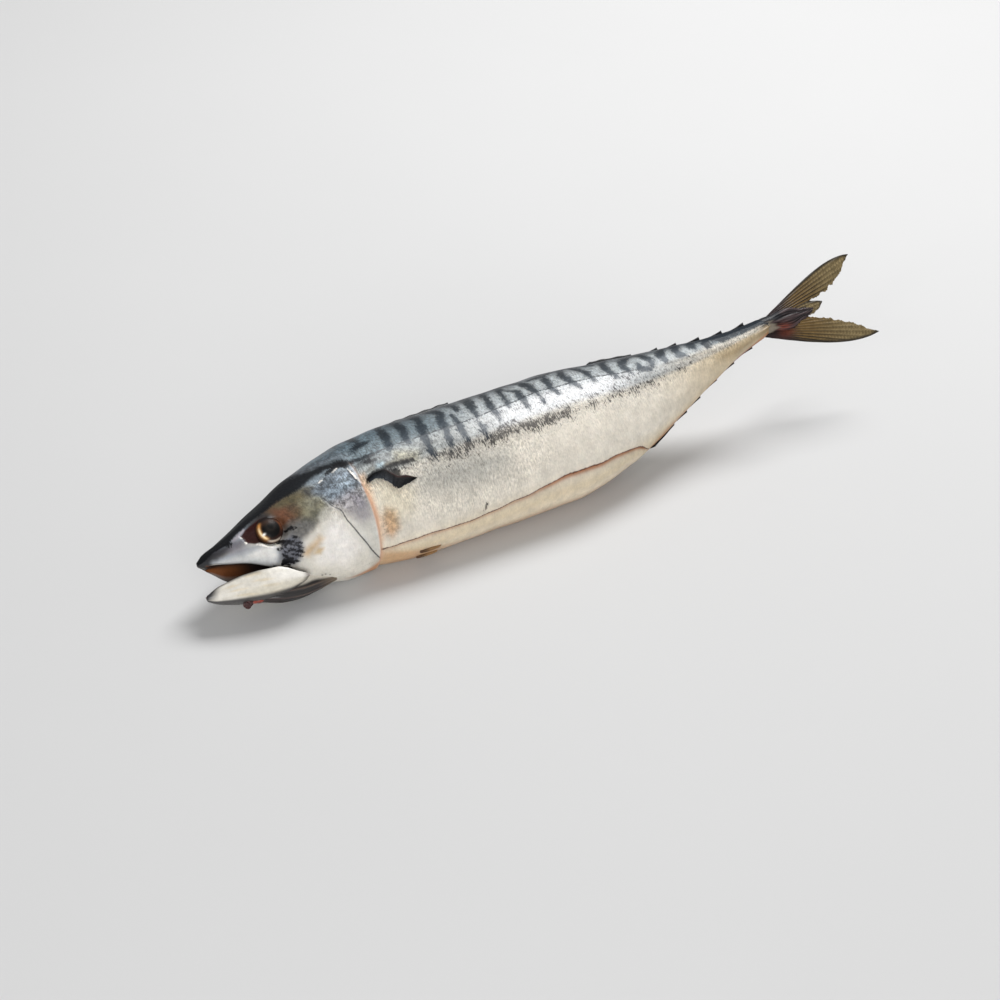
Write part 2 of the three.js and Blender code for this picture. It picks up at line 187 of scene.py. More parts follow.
def laid_grid(name, rows, columns, shape):
    """A net of rows and columns laid over a shape, welded where it meets itself and closed at its ends.
    The shape gives each knot its place in fish mm, its painted layers and its place in the pattern."""
    net = bmesh.new()
    bmesh.ops.create_grid(net, x_segments=rows - 1, y_segments=columns - 1, size=1)
    mesh = bpy.data.meshes.new(name)
    net.to_mesh(mesh)
    knots = np.empty(len(mesh.vertices) * 3)
    mesh.vertices.foreach_get("co", knots)
    row, column = (np.rint((knots.reshape(-1, 3)[:, k] + 1) / 2 * (count - 1)).astype(int)
                   for k, count in ((0, rows), (1, columns)))
    points, layers, pattern = shape(row, column)
    mesh.vertices.foreach_set("co", in_frame(points).ravel())
    for key, values in layers.items():
        paint_layer(mesh, key, values)
    corners = np.empty(len(mesh.loops), int)
    mesh.loops.foreach_get("vertex_index", corners)
    mesh.uv_layers.new(name="pattern").data.foreach_set("uv", (pattern[corners] / 1000).ravel())
    net.clear()
    net.from_mesh(mesh)
    bmesh.ops.remove_doubles(net, verts=net.verts, dist=.00001)
    bmesh.ops.holes_fill(net, edges=[edge for edge in net.edges if edge.is_boundary])
    bmesh.ops.recalc_face_normals(net, faces=net.faces)
    net.to_mesh(mesh)
    net.free()
    return bpy.data.objects.new(name, mesh)


def linear(hex_colour):
    """An sRGB hex value as linear light."""
    value = np.array([int(hex_colour[k:k + 2], 16) for k in (1, 3, 5)]) / 255
    return np.where(value <= .04045, value / 12.92, ((value + .055) / 1.055) ** 2.4)


def blend(under, over, cover):
    """Lays one colour over another where cover is 1. Each is an sRGB hex value or linear light."""
    under, over = (linear(colour) if isinstance(colour, str) else colour for colour in (under, over))
    cover = np.clip(cover, 0, 1)[:, None]
    return under * (1 - cover) + over * cover


# Where things are on the skin, as (mm from the snout, degrees from the belly).
GILL_EDGE = 77.9
LIP_COLUMN = 40
lip_angle = profile((0, 46), (6, 46), (12, 43), (18, 40), (24, 34), (30, 27), (38, 25), (47, LIP_COLUMN))
palate = profile((0, -2), (3.6, -2.4), (10, -1.8), (22, -4), (38, -11))
slit_angle = profile((77, 26), (97, 30), (118, 27), (138, 28), (182, 36), (206, 33), (220, 26), (229, 3))
SLIT_COLUMN, SLIT_DEPTH, SLIT_LIP = 30, 1.7, .45
cheek_edge = profile((14, 78.5), (33, 73), (42, 71), (50, 69), (60, 67), (70, 65), (80, 64), (88, 61),
                     (98, 59))
lateral_line = profile((78, 125), (84, 119), (96, 118), (113, 116), (134, 114), (163, 116), (180, 119),
                       (190, 117), (208, 118), (228, 115), (250, 113), (290, 106), (TRUNK_END, 92))
EYE_PLACE = (32.8, 95)
# The eye's hollow, and the bone of the upper jaw that stands out below it.
ORBIT = [(20.2, 113), (23.5, 123), (26.2, 125), (30, 124), (33, 118), (33, 100), (33, 82), (29, 80),
         (26.5, 82), (24.2, 83), (21, 89)]
MAXILLA = [(3, 88), (9, 78), (15, 84), (20, 83), (26, 80), (31, 71), (34, 60), (33, 44), (31, 30), (22, 37),
           (14, 43), (8, 46), (4, 50)]
# How far parts stand out or lie in, in mm.
GILL_COVER_RISE, GILL_STEP, CHEEK_HANG, KEEL_HEIGHT, UNEVENNESS = .8, .6, 3.9, .8, .13
SOCKET_DEPTH, ORBIT_DEPTH, MAXILLA_RISE = 2.4, 1.5, .55


def relief(x, t):
    """How far the skin stands proud of the plain body, in mm."""
    away = np.abs(t)
    side = 1 - ease(away, 125, 160)
    lift = np.where(x <= GILL_EDGE, GILL_COVER_RISE * side * ease(x, 58, 77),
                    -GILL_STEP * side * (1 - ease(x, 79, 88)))
    cheek = ease(away, 14, 24) * (1 - ease(away, 92, 101))
    past = x - cheek_edge(away)
    lift = lift + cheek * (.45 * np.exp(-((past + 2.2) / 2) ** 2) - .42 * np.exp(-((past - .7) / .7) ** 2))
    raised = (away - EYE_PLACE[1]) * mm_per_degree(x)
    eye_gap = np.hypot(x - EYE_PLACE[0], raised * np.where(raised > 0, 1.3, 1))
    lift = lift - SOCKET_DEPTH * (1 - ease(eye_gap, 5.5, 6.9))
    lift = lift + .3 * np.exp(-((eye_gap - 7.6) / .9) ** 2) * (raised < 0)
    lift = lift - ORBIT_DEPTH * ease(patch(x, away, ORBIT), -1.2, 1.2) * ease(eye_gap, 5.5, 7)
    lift = lift + MAXILLA_RISE * ease(patch(x, away, MAXILLA), -.6, 1.6)
    lift = lift + .12 * np.exp(-((away - lateral_line(x)) * mm_per_degree(x) / .6) ** 2) * (x > 80)
    keel = np.exp(-((x - 307) / 6) ** 2) * (np.exp(-((away - 78) / 7) ** 2)
                                            + np.exp(-((away - 104) / 7) ** 2))
    lift = lift + KEEL_HEIGHT * keel
    # The cheeks hang a little lower than the plain body, as far as the gill covers.
    lift = lift + CHEEK_HANG * (1 - ease(away, 8, 46)) * ease(x, 33, 45) * (1 - ease(x, 62, 80))
    uneven = np.sin(x / 6.1 + away / 17) * np.sin(away / 8.3 - x / 23)
    uneven = uneven + .6 * np.sin(x / 2.9 - away / 11 + 1)
    lift = lift + UNEVENNESS * uneven * ease(x, 2, 12) * (1 - ease(x, 290, 312))
    return lift


head_rows = np.concatenate([[0, .15], np.linspace(.45, 76.9, 184)])
# The free edge of the gill cover folds under itself and the trunk starts below it.
EDGE_PLACES = (77.3, 77.7, 78, 78.1, 77.9, 77.2, 76.6, 77.3, 78.1, 78.9)
EDGE_LIFTS = (0, 0, -.18, -.55, -.95, -1.5, -1.85, -1.5, 0, 0)
trunk_rows = np.linspace(79.7, TRUNK_END, 297)
rows_at = np.concatenate([head_rows, np.linspace(77.3, 78.9, len(EDGE_PLACES)), trunk_rows])
rows_folded = np.concatenate([head_rows, EDGE_PLACES, trunk_rows])
rows_lift = np.concatenate([0 * head_rows, EDGE_LIFTS, 0 * trunk_rows])
left_columns = np.concatenate([np.linspace(0, 28, 18), [28.8, 29.4, 29.8, 30, 30.25, 30.8, 31.6],
                               np.linspace(33, 39, 5), [LIP_COLUMN], np.linspace(41.3, 180, 83)])
right_columns = -np.concatenate([np.linspace(1.9, 38.2, 18), [LIP_COLUMN], np.linspace(42, 180, 61)])[::-1]
columns_at = np.concatenate([right_columns, left_columns])

# The trunk's soft colours, laid from the belly up: its own, with a painted highlight in the silver band.
FLANK_PEARL, BELLY_CREAM, TAIL_CREAM = "#dbd4c7", "#cebb98", "#c0ac88"
BAND_GREY, BAND_SILVER, BAND_SAND = "#8b8f8d", "#c4c5c6", "#b1a48c"
BACK_BLUE, BACK_PALE, SPINE_DARK = "#6c7a81", "#a6acae", "#343b41"
# How much of the band is bright silver along the trunk: partly the band's own silver, partly a painted
# highlight where the light's reflection falls brightest, from 165 to 212 mm.
band_silver_and_highlight = profile((80, .1), (118, .1), (142, .45), (165, 1), (212, 1), (240, .35), (262, .4),
                     (TRUNK_END, .3))
smudge_angle = profile((80, 96), (120, 92), (160, 90), (190, 88), (230, 93), (260, 96), (TRUNK_END, 100))
smudge_reach = profile((80, -3), (104, -1), (122, .7), (150, 1.4), (182, .9), (198, -.9), (222, .1),
                       (246, -.9), (270, -3))
# The head's own soft colours from the belly to the back.
HEAD_ANGLES = (0, 20, 50, 70, 85, 95, 110, 125, 140, 160, 180)
HEAD_TONES = "c2b6a3 c8c3b9 d6d4ce cec9bf a8a49c 989a9c 96a0a8 7c8890 5a6066 50545a 2c3036"
# Soft patches: colour, how soft the edge is in mm, how much it covers, and its corners.
HEAD_PATCHES = (
    ("#3a3a40", 3, .95, [(0, 180), (0, 30), (5, 60), (9, 92), (14, 108), (22, 126), (36, 134), (50, 138),
                         (60, 180)]),
    ("#999da3", 1.6, 1, MAXILLA),
    ("#c6c7c6", 2.2, 1, [(8, 55), (16, 62), (24, 70), (31, 64), (31, 34), (22, 40), (14, 45), (9, 48)]),
    ("#dedcd8", 1.6, .9, [(20, 62), (26, 74), (31, 70), (31, 50), (24, 52)]),
    ("#a8a3aa", 1.2, .9, [(16, 116), (19, 122), (23, 126), (23, 119), (19, 108), (16, 104)]),
    ("#2b2422", 1.8, .95, [(24, 112), (25, 127), (31, 134), (42, 134), (42, 121), (38, 114), (33, 111),
                           (29, 112)]),
    ("#3c3b42", 2, .85, [(8, 96), (12, 106), (17, 104), (19, 94), (17, 84), (11, 76), (7, 72)]),
    ("#d3cec3", 2, .9, [(43, -14), (43, 50), (47, 70), (56, 82), (61, 84), (66, 60), (72, 30), (74, -8),
                        (60, -20)]),
    # The cheek's own white, laid lighter at its middle, where it is also a painted highlight.
    ("#ece8e3", 4, .9, [(48, 30), (50, 58), (57, 76), (62, 72), (66, 52), (68, 36), (60, 24)]),
    ("#c29e6c", 2, .7, [(41.5, 44), (44, 54), (48, 60), (51, 65), (52.5, 60), (48.5, 50), (44.5, 40)]),
    ("#c3a268", 1.2, .7, [(47, 42), (49, 50), (52, 48), (50, 40)]),
    ("#54422f", 2, 1, [(34, 128), (38, 133), (46, 128), (52, 116), (50, 92), (46, 78), (40, 78), (37, 84)]),
    ("#6b4029", 2.6, .75, [(37, 122), (42, 112), (43, 94), (38, 84), (34, 84)]),
    ("#74705a", 2.4, .9, [(46, 120), (53, 112), (59, 103), (60, 92), (56, 85), (50, 78), (45, 82),
                          (48, 100)]),
    ("#574f38", 2, .9, [(38, 126), (46, 131), (54, 125), (58, 116), (54, 107), (46, 111), (40, 118)]),
    ("#24272a", 1.3, .75, [(53, 121), (58, 114), (61, 105), (58, 102), (55, 108), (52, 115)]),
    ("#4e4f48", 2, .7, [(42, 84), (47, 80), (52, 82), (56, 88), (54, 90), (48, 86), (44, 88)]),
    ("#68737d", 2.6, .95, [(57, 112), (66, 118), (73, 112), (76, 100), (74, 92), (66, 88), (60, 94)]),
    ("#5d6673", 1.6, .7, [(66, 116), (73, 114), (77, 104), (77, 94), (75, 100), (71, 110)]),
    ("#959195", 3, .85, [(62, 90), (70, 94), (76, 90), (77, 62), (71, 60), (67, 72)]),
    ("#7f7c86", 2.2, .6, [(70, 92), (75, 88), (76, 74), (72, 76)]),
    ("#474e55", 1.5, .8, [(58, 114), (61, 119), (65, 117), (66, 110), (62, 106), (59, 108)]),
    ("#9aa7b1", 2, .6, [(69, 110), (74, 108), (75, 100), (71, 98), (68, 104)]),
    ("#b8b6ac", 1.5, .7, [(53, 84), (56, 88), (60, 84), (57, 78), (54, 78)]),
    ("#c6c3ba", 2.6, .8, [(68, 60), (76, 62), (77, 20), (73, 30)]),
    ("#53626b", 3, .9, [(58, 160), (66, 144), (74, 138), (84, 134), (90, 146), (84, 166), (66, 172)]),
    ("#5f616a", 1.8, 1, [(33, 28), (32.4, 46), (33, 62), (35, 76), (40, 82), (43.6, 72), (43, 54), (41, 38),
                         (38, 28)]),
    ("#8f8d92", 2.4, .8, [(13, 74), (16, 94), (20, 86), (21, 76), (18, 70)]),
    ("#6f6c74", 1.5, .7, [(12, 92), (15, 101), (18, 104), (21, 100), (22, 90), (19, 86), (14, 84)]),
    ("#5b5a58", 1.8, .9, [(36, 88), (41, 91), (48, 88), (52, 80), (50, 75), (45, 68), (42, 68), (40, 76),
                          (36, 80)]),
    ("#1d1d21", 1.3, .97, [(-1, -9), (-1, 150), (6, 130), (8, 104), (6, 80), (5, 62), (5.6, 30),
                           (5.6, -9)]),
    ("#2a292c", 1.6, .85, [(6, 104), (9, 110), (13, 106), (14, 95), (11, 86), (8.5, 78), (7.5, 68),
                           (5, 70)]),
    ("#b57a4a", 2, .85, [(48, -20), (58, -7), (66, 2), (74, 8), (78, 14), (78, -60), (45, -60)]),
)
TRUNK_PATCHES = (
    ("#b4875a", 2.6, .8, [(81, 60), (84, 68), (88, 62), (88, 46), (84, 38), (81, 44)]),
    ("#d9b493", 2, .75, [(78, 104), (81, 104), (81, 86), (79.8, 74), (80.6, 60), (80, 38), (77, 30),
                         (77, 80)]),
    ("#c3b489", 5, .3, [(80, 98), (92, 90), (100, 76), (96, 56), (86, 50), (82, 66)]),
    ("#9b957c", 2.6, .7, [(99.2, 112), (110, 103), (107.5, 95), (96.8, 103.5)]),
    ("#6a6250", 1.4, .8, [(84, 105), (90, 106), (98, 103), (106, 99.5), (106, 97), (96, 99), (88, 101)]),
    ("#4b5153", 2.2, .7, [(79, 118), (90, 114), (96, 111), (96, 107), (88, 108), (80, 111)]),
    ("#8ea3ad", 1.6, .9, [(88.8, 109), (92, 106), (90.5, 101), (87.2, 103.5)]),
    ("#a3a19a", 7, .85, [(100, 84), (112, 90), (134, 86), (150, 76), (148, 62), (132, 56), (116, 60),
                         (104, 68)]),
    ("#bd8350", 2.6, .5, [(79, 22), (84, 20), (96, 12), (108, 4), (120, -4), (96, -10), (79, -8)]),
    ("#5a6c76", 4, .7, [(79, 158), (79, 136), (92, 134), (104, 142), (110, 170), (90, 176)]),
    ("#e4dfd4", 1.6, .8, [(272, 116), (286, 110), (298, 104), (306, 92), (306, 84), (296, 95), (284, 102)]),
    ("#a8683a", 2.2, .8, [(228, 4), (240, 16), (252, 15), (264, 11), (276, 16), (288, 16), (298, 28),
                          (306, 52), (313, 56), (313, -40), (228, -30)]),
    ("#7a3420", 1.8, .8, [(283, 14), (289, 24), (297, 30), (303, 26), (300, -10), (288, -12)]),
    ("#76603f", 2, .8, [(306, 96), (313, 96), (313, 40), (308, 52), (303, 66)]),
    ("#8f7a58", 3, .7, [(276, 84), (288, 84), (300, 78), (309, 82), (313, 76), (313, 50), (300, 44),
                        (286, 50)]),
)
# The back of the tail's wrist is black, with a crisp lower edge.
WRIST_BLACK = [(266, 190), (272, 142), (281, 128), (292, 122), (299, 116), (304, 110), (314, 98), (320, 98),
               (320, 190)]
# The dark bars of the back, each with the half of its width in mm. They are laid wider than listed, by a
# factor, and thin out to their ends.
BAR_SWELL, BAR_TAPER, SPINE_BAR_HALF = 1.35, .55, 1.7
BARS = (
    (1.3, [(83, 133), (88, 137), (91, 134)]), (1.4, [(102, 152), (101, 138), (100, 127), (98, 116)]),
    (1.5, [(110, 150), (110, 133), (108, 122), (108, 113)]),
    (1.5, [(120, 156), (120, 138), (118, 126), (116, 116), (115, 104), (115, 91)]),
    (1.5, [(127, 154), (130, 144), (131, 134), (128, 123), (127, 113), (126, 104), (125, 94)]),
    (1.2, [(137, 160), (140, 148), (140, 139), (139, 131)]),
    (1.3, [(135, 127), (135, 116), (134, 106), (134, 97)]),
    (1.5, [(150, 164), (148, 142), (146, 127), (145, 115)]), (1.0, [(144, 108), (144, 98), (143, 91)]),
    (1.3, [(154, 164), (160, 158), (164, 156)]), (1.4, [(158, 148), (155, 127), (154, 114), (154, 105)]),
    (1.3, [(162, 158), (169, 151), (176, 156)]), (1.3, [(166, 148), (164, 131), (163, 121), (162, 113)]),
    (1.2, [(168, 136), (172, 129), (171, 120), (170, 105)]),
    (1.4, [(174, 156), (178, 142), (179, 131), (179, 121), (179, 107)]),
    (1.4, [(190, 142), (188, 128), (187, 119), (188, 109)]), (1.3, [(182, 142), (190, 142), (199, 158)]),
    (1.4, [(203, 160), (199, 140), (197, 129), (198, 119), (200, 109)]),
    (1.3, [(205, 152), (208, 139), (209, 129), (209, 112)]), (1.0, [(212, 158), (216, 144)]),
    (1.4, [(224, 162), (220, 136), (219, 124), (221, 113)]),
    (1.3, [(236, 149), (230, 136), (228, 125), (229, 114)]),
    (1.3, [(239, 154), (242, 142), (243, 126), (242, 114)]), (1.0, [(236, 126), (235, 114), (240, 111)]),
    (1.3, [(254, 152), (250, 130), (250, 116)]), (1.3, [(262, 168), (259, 138), (258, 124), (261, 117)]),
    (1.3, [(271, 168), (268, 137), (268, 124)]), (1.3, [(277, 160), (275, 134), (274, 121)]),
    (1.5, [(284, 150), (284, 130), (286, 121)]),
)
# Crisp marks of the head: where the dark crown ends, and the black freckles behind the mouth.
CROWN = [(-1, 190), (-1, 60), (3, 92), (7, 112), (14, 110), (20, 127), (27, 129), (35, 128), (43, 128.5),
         (47, 124), (52, 123), (60, 128), (66, 127), (72, 122), (75, 115), (77.5, 118), (76, 128),
         (68, 134), (62, 140), (56, 150), (50, 190)]
FRECKLE_SWELL, FRECKLE_TAPER = 1.2, .7
FRECKLES = (
    (.3, [(31.5, 66), (33, 60.5)]), (.4, [(34.8, 57.5), (36.2, 51.5)]),
    (.4, [(37.8, 65.5), (40.2, 62), (43, 55.5)]), (.55, [(38.8, 53.5), (41, 52.5), (42.8, 49)]),
    (.35, [(37, 61), (38.8, 58)]), (.4, [(37.5, 49), (40.5, 47.5)]),
    (.5, [(34.2, 47), (37, 41), (38.8, 41)]), (.5, [(37, 37), (40.2, 34.5)]), (.3, [(41.8, 64), (43, 63)]),
    (1.1, [(33.2, 29), (34.2, 38), (36.8, 36.5), (38.2, 30.5)]), (.3, [(29.2, 30.5), (30.5, 28)]),
    (.45, [(35.5, 27), (37, 17), (39.8, 11.5)]), (.8, [(41, 9.5), (43.8, 5), (46.2, -8.5), (47.8, -12)]),
    (.7, [(32, 79), (36.2, 71.5), (40.2, 69)]), (.5, [(38, 85), (40.2, 85.5), (42.5, 83)]),
    (.22, [(49.5, 11.5), (49.9, 11.5)]), (.22, [(51, 12.5), (51.4, 12.5)]),
    (.22, [(53, 11.5), (53.4, 11.5)]), (.25, [(48.2, 4), (48.6, 4)]), (.3, [(36, 57), (38, 55)]),
    (.35, [(39.5, 44), (42, 42)]), (.5, [(33, 74), (35.5, 67), (37.5, 70)]), (.3, [(35, 63), (36.4, 61)]),
    (.35, [(40.6, 58.5), (42.2, 56.5)]), (.6, [(33.4, 53), (35, 48), (36.4, 44.5)]),
    (.45, [(35.2, 71), (38.6, 66.5)]), (.45, [(39.6, 76), (42, 71)]), (.5, [(38.2, 47), (41.6, 44)]),
    (.45, [(36.6, 57.5), (39.6, 55.6)]), (.5, [(33.6, 34), (36.2, 28)]), (.4, [(40, 66.5), (42.8, 63)]),
    (.4, [(33.4, 66), (34.6, 62)]), (.35, [(41.2, 50.5), (43, 47.5)]),
)
# The part of the flank where the hatching shows most.
SPECKLED = [(96, 84), (112, 90), (140, 88), (160, 80), (170, 60), (150, 44), (120, 40), (104, 50), (92, 70)]
# Painted glints: thin white highlights on the gill cover's top edge, under and before the eye,
# and on the dark band above the gill cover.
PAINTED_GLINTS = (
    (.5, [(75.2, 115), (76.5, 103), (78, 94)]), (.6, [(24.5, 81.5), (27.5, 76), (30.8, 71)]),
    (.45, [(19.8, 109), (20.3, 106)]), (.4, [(20.4, 91), (21.4, 88.5)]), (.4, [(68, 119.5), (71.5, 120.5)]),
    (.35, [(60, 117), (63, 118.5)]),
)
# Dark lines: the nostril, the shoulder round the gill cover and the pectoral fin, and one faint nick.
NOSTRIL = [(13.5, 112), (15, 106)]
DARK_LINES = (
    (1.5, [(66, 122), (71.5, 123), (76, 122), (80, 121)]),
    (.9, [(78.5, 123), (84.2, 118.5), (92.8, 117.5)]), (.8, [(83, 116), (86, 113), (89.2, 111)]),
    (.45, [(74.8, 112), (76.2, 99)]),
    (.9, [(81, 96), (82.5, 98.5), (85.5, 100), (90, 100), (95.8, 100.5), (99, 99.5), (105, 97.5)]),
    (1.3, [(92.5, 97), (95, 93), (96, 90)]), (.03, [(129.6, 30), (131, 35), (132, 38)]),
)


def patched(under, x, away, patches):
    """Lays soft patches on a colour, in the order in which they are listed."""
    for colour, soft, cover, corners in patches:
        under = blend(under, colour, cover * ease(patch(x, away, corners), -soft, soft))
    return under


def skin_tone(x, away):
    """The soft colour of the skin, in linear light."""
    trunk = blend(FLANK_PEARL, TAIL_CREAM, .8 * ease(x, 225, 290))
    trunk = blend(trunk, BELLY_CREAM, .9 * (1 - ease(away, 8, 44)))
    # Painted light: the underside of the belly is lightened, standing in for light thrown up from the
    # floor.
    trunk = blend(trunk, "#e2d6c2",
                  .7 * (1 - ease(away, 6, 22)) * ease(x, 84, 120) * (1 - ease(x, 215, 240)))
    band = blend(BAND_GREY, BAND_SAND, ease(x, 232, 280))
    # The band's bright silver, partly a painted highlight.
    band = blend(band, BAND_SILVER, band_silver_and_highlight(x))
    trunk = blend(trunk, band, ease(away, 90, 99))
    back = blend(BACK_BLUE, BACK_PALE, ease(x, 118, 150) * (1 - ease(x, 262, 290)))
    trunk = blend(trunk, back, .95 * ease(away, 108, 122))
    trunk = blend(trunk, SPINE_DARK, .95 * ease(away, 130, 153))
    trunk = patched(trunk, x, away, TRUNK_PATCHES)
    head_tones = np.array([linear("#" + code) for code in HEAD_TONES.split()])
    head = np.stack([np.interp(away, HEAD_ANGLES, head_tones[:, c]) for c in range(3)], -1)
    head = patched(head, x, away, HEAD_PATCHES)
    nape = ease(away, 118, 136)
    return blend(head, trunk, ease(x, GILL_EDGE - .1 - 8 * nape, GILL_EDGE + .1 + 8 * nape))


def skin_shape(row, column):
    side = columns_at[column]
    folded = 1 - ease(np.abs(side), 112, 123)
    x = rows_at[row] * (1 - folded) + rows_folded[row] * folded
    # Columns lean so that one of them runs along the lip and another along the cut.
    lip = lip_angle(x)
    turned = np.where(np.abs(side) < LIP_COLUMN, np.abs(side) * lip / LIP_COLUMN,
                      np.interp(np.abs(side), (LIP_COLUMN, 85), (0, 1)) * (85 - lip) + lip)
    t = np.where(np.abs(side) < 85, np.sign(side) * turned, side)
    from_slit = np.abs((side - SLIT_COLUMN + 180) % 360 - 180)
    waver = .5 * np.sin(x / 5.3) + .35 * np.sin(x / 2.3 + 1)
    pull = np.maximum(0, 1 - from_slit / 60) * (slit_angle(x) - SLIT_COLUMN + waver)
    t = t + pull * ease(x, 72, 80)
    opened = ease(x, 77, 86) * (1 - ease(x, 223, 229))
    off = side - SLIT_COLUMN
    cut = np.where(off > 0, SLIT_LIP * np.maximum(0, 1 - off / 14) * ease(off, -.1, .3), 0)
    cut = np.where(off <= 0, -SLIT_DEPTH * np.maximum(0, 1 + off / 13) ** 1.5, cut)
    away = np.abs(t)
    lift = relief(x, t) + rows_lift[row] * folded + opened * cut
    back, left = section(x, t, lift)
    # Under the lip the net turns in and makes the roof of the mouth, which ends at a back wall.
    roof = ease(x, 2.2, 4.4) * (1 - ease(x, 33, 39)) * (np.abs(side) < LIP_COLUMN)
    inward = 1 - np.abs(side) / LIP_COLUMN
    lip_back, lip_left = section(x, np.where(t < 0, -lip, lip), relief(x, lip))
    rise = 1 - (1 - inward) ** 2.4
    roof_back = lip_back * (1 - rise) + palate(x) * rise - .5 * np.sin(math.pi * np.minimum(inward * 9, 1))
    roof_left = lip_left * (1 - inward) ** .85
    back = back * (1 - roof) + roof_back * roof
    left = left * (1 - roof) + roof_left * roof
    ends = (row > 0) & (row < len(rows_at) - 1)
    slimmed = 1 - .3 * ease(x, 306, TRUNK_END)
    points = place(x, back * ends * slimmed, left * ends * slimmed)

    colour = skin_tone(x, away)
    inside = roof * ease(inward, .02, .14)
    # The roof of the mouth: orange-brown flesh by the far lip, with painted shade: darker towards the back,
    # sooner on the near side, and near black in the middle.
    flesh = blend("#7d4a26", "#20110f", ease(x + 14 * (side > 0), 14, 27))
    flesh = blend(flesh, "#211b1a", .93 * ease(inward, .3, .6))
    # Painted shade on the far side of the head beside the lip, where it is seen through the open mouth.
    far_lip_shade = ease(-side, 34, 40) * (1 - ease(-side, 56, 74)) * (1 - ease(x, 16, 30))
    colour = blend(colour, "#3b3531", .85 * far_lip_shade)
    lip_line = np.exp(-((side - LIP_COLUMN - .6) / 1.6) ** 2) * ease(x, 1, 4) * (1 - ease(x, 30, 35))
    colour = blend(colour, "#2a2929", .8 * lip_line)
    colour = blend(colour, flesh, inside)
    bar_x = np.where(t < 0, x + 5 + 2 * np.sin(x / 17), x)
    bars = strokes(bar_x, away, BARS, BAR_SWELL, BAR_TAPER)
    # Over the spine the bars run on, each leaning its own way, until they meet those of the other flank.
    tops = [max(knots, key=lambda knot: knot[1]) for _, knots in BARS]
    over = [(SPINE_BAR_HALF, [(top, angle), (top + 4 * np.sin(top), 166), (top + 5 * np.sin(top + 1), 181)])
            for top, angle in tops if angle > 130]
    bars = np.maximum(bars, strokes(bar_x, away, over, 1, .2) - .6)
    scale = mm_per_degree(x)
    on_slit = np.where(side > -20, (side - SLIT_COLUMN + .35) * scale, 9)
    mouth_of_cut = np.exp(-((on_slit + .9) / 1.2) ** 2) * opened
    colour = blend(colour, "#a9673a", (.55 + .35 * ease(x, 150, 172)) * mouth_of_cut)
    under = (1 - ease(t, -14, 6)) * (t > -60) * ease(x, 80, 96) * (1 - ease(x, 214, 228))
    colour = blend(colour, "#b27c48", .5 * under)
    # How strongly the fine hatching of the scales shows, most on the back and the gill cover's top.
    grain = np.interp(away, (0, 40, 70, 84, 92, 100, 112, 125, 160),
                      (.08, .1, .2, .45, .75, .95, .95, .95, .7))
    grain = grain + .3 * ease(patch(x, away, SPECKLED), -8, 4)
    head_grain = np.interp(away, (0, 64, 80, 96, 120), (.04, .06, .3, .75, .8)) * ease(x, 52, 62) + .05
    grain = np.where(x < GILL_EDGE, head_grain, grain)
    grain = np.clip(grain, 0, 1) * (1 - inside)
    gill_top = ease(patch(x, away, [(54, 120), (66, 120), (78, 118), (77, 84), (66, 80), (58, 94)]), -4, 3)
    shoulder = ease(patch(x, away, [(78, 128), (100, 122), (124, 118), (122, 92), (100, 92), (79, 104)]),
                    -3, 4)
    behind_eye = ease(patch(x, away, [(40, 128), (52, 124), (62, 106), (60, 88), (50, 74), (42, 72),
                                      (38, 90)]), -3, 3)
    nape = ease(away, 122, 138) * ease(x, 50, 62) * (1 - ease(x, 84, 110))
    blotches = .95 * gill_top + .6 * shoulder + .25 * ease(away, 112, 130) * ease(x, 78, 90) + .06
    stain = ease(patch(x, away, [(80, 66), (84, 70), (89, 62), (88, 44), (84, 38), (80, 44)]), -2, 2)
    blotches = blotches + .45 * behind_eye + .5 * nape + .45 * stain
    bars = bars + .35 * ease(x, 210, 235)
    layers = {
        "tone": colour,
        "bars": np.maximum(bars + 1.1 * ease(away, 136, 160) * (1 - .8 * ease(x, 236, 250)),
                           patch(x, away, WRIST_BLACK)),
        "lateral": np.where((x < 80) | (x > 238), 9, (away - lateral_line(x)) * scale),
        # Over the top of the head the black is thinned, so that a lighter grey shows there as a painted
        # sheen.
        "crown": patch(x, away, CROWN) * (1 - .72 * ease(away, 134, 150)),
        "orbit": patch(x, away, ORBIT),
        "freckles": strokes(x, away, FRECKLES, FRECKLE_SWELL, FRECKLE_TAPER),
        # Painted glints: thin white highlights.
        "pale": strokes(x, away, PAINTED_GLINTS, 1, .6),
        "smudge": np.where(x < 90, -9, np.maximum(
            smudge_reach(x) - np.abs(away - smudge_angle(x)) * scale * .8,
            -9 + 6.7 * ease(away, 88, 94) * (1 - ease(away, 112, 122))
            * ease(x, 92, 110) * (1 - ease(x, 262, 290)))),
        "lines": np.maximum(stroke(x, away, NOSTRIL, .8, .4), strokes(x, away, DARK_LINES, 1, .5)),
        "cheek": np.where((away > 15) & (away < 99) & (x > 50), x - cheek_edge(away), 9),
        "slit": np.where(opened > .02, on_slit, 9) * 1.,
        "inside": inside * 1.,
        "membrane": folded * ease(x, 76.9, 77.5) * (1 - ease(x, 78.3, 79.7 + .9 * np.sin(away / 9)))
        * (.8 - .55 * ease(away, 88, 104)),
        "silver": np.interp(away, (0, 30, 70, 92, 99, 108, 120, 150), (0, .1, .25, .4, 1, 1, .5, .1))
        * np.interp(x, (0, 60, 90, 130, 160, 215, 245, 270, 300), (.2, .3, .15, .3, .75, .7, .35, .15, .1))
        * (1 - inside),
        "grain": grain,
        "blotches": blotches * (1 - inside),
        "dull": np.maximum(ease(patch(x, away, CROWN), -2, 2) + ease(patch(x, away, ORBIT), -1, 1),
                           ease(x, 264, 280) * ease(away, 100, 114)),
    }
    return points, layers, np.stack([x, side * scale], -1)


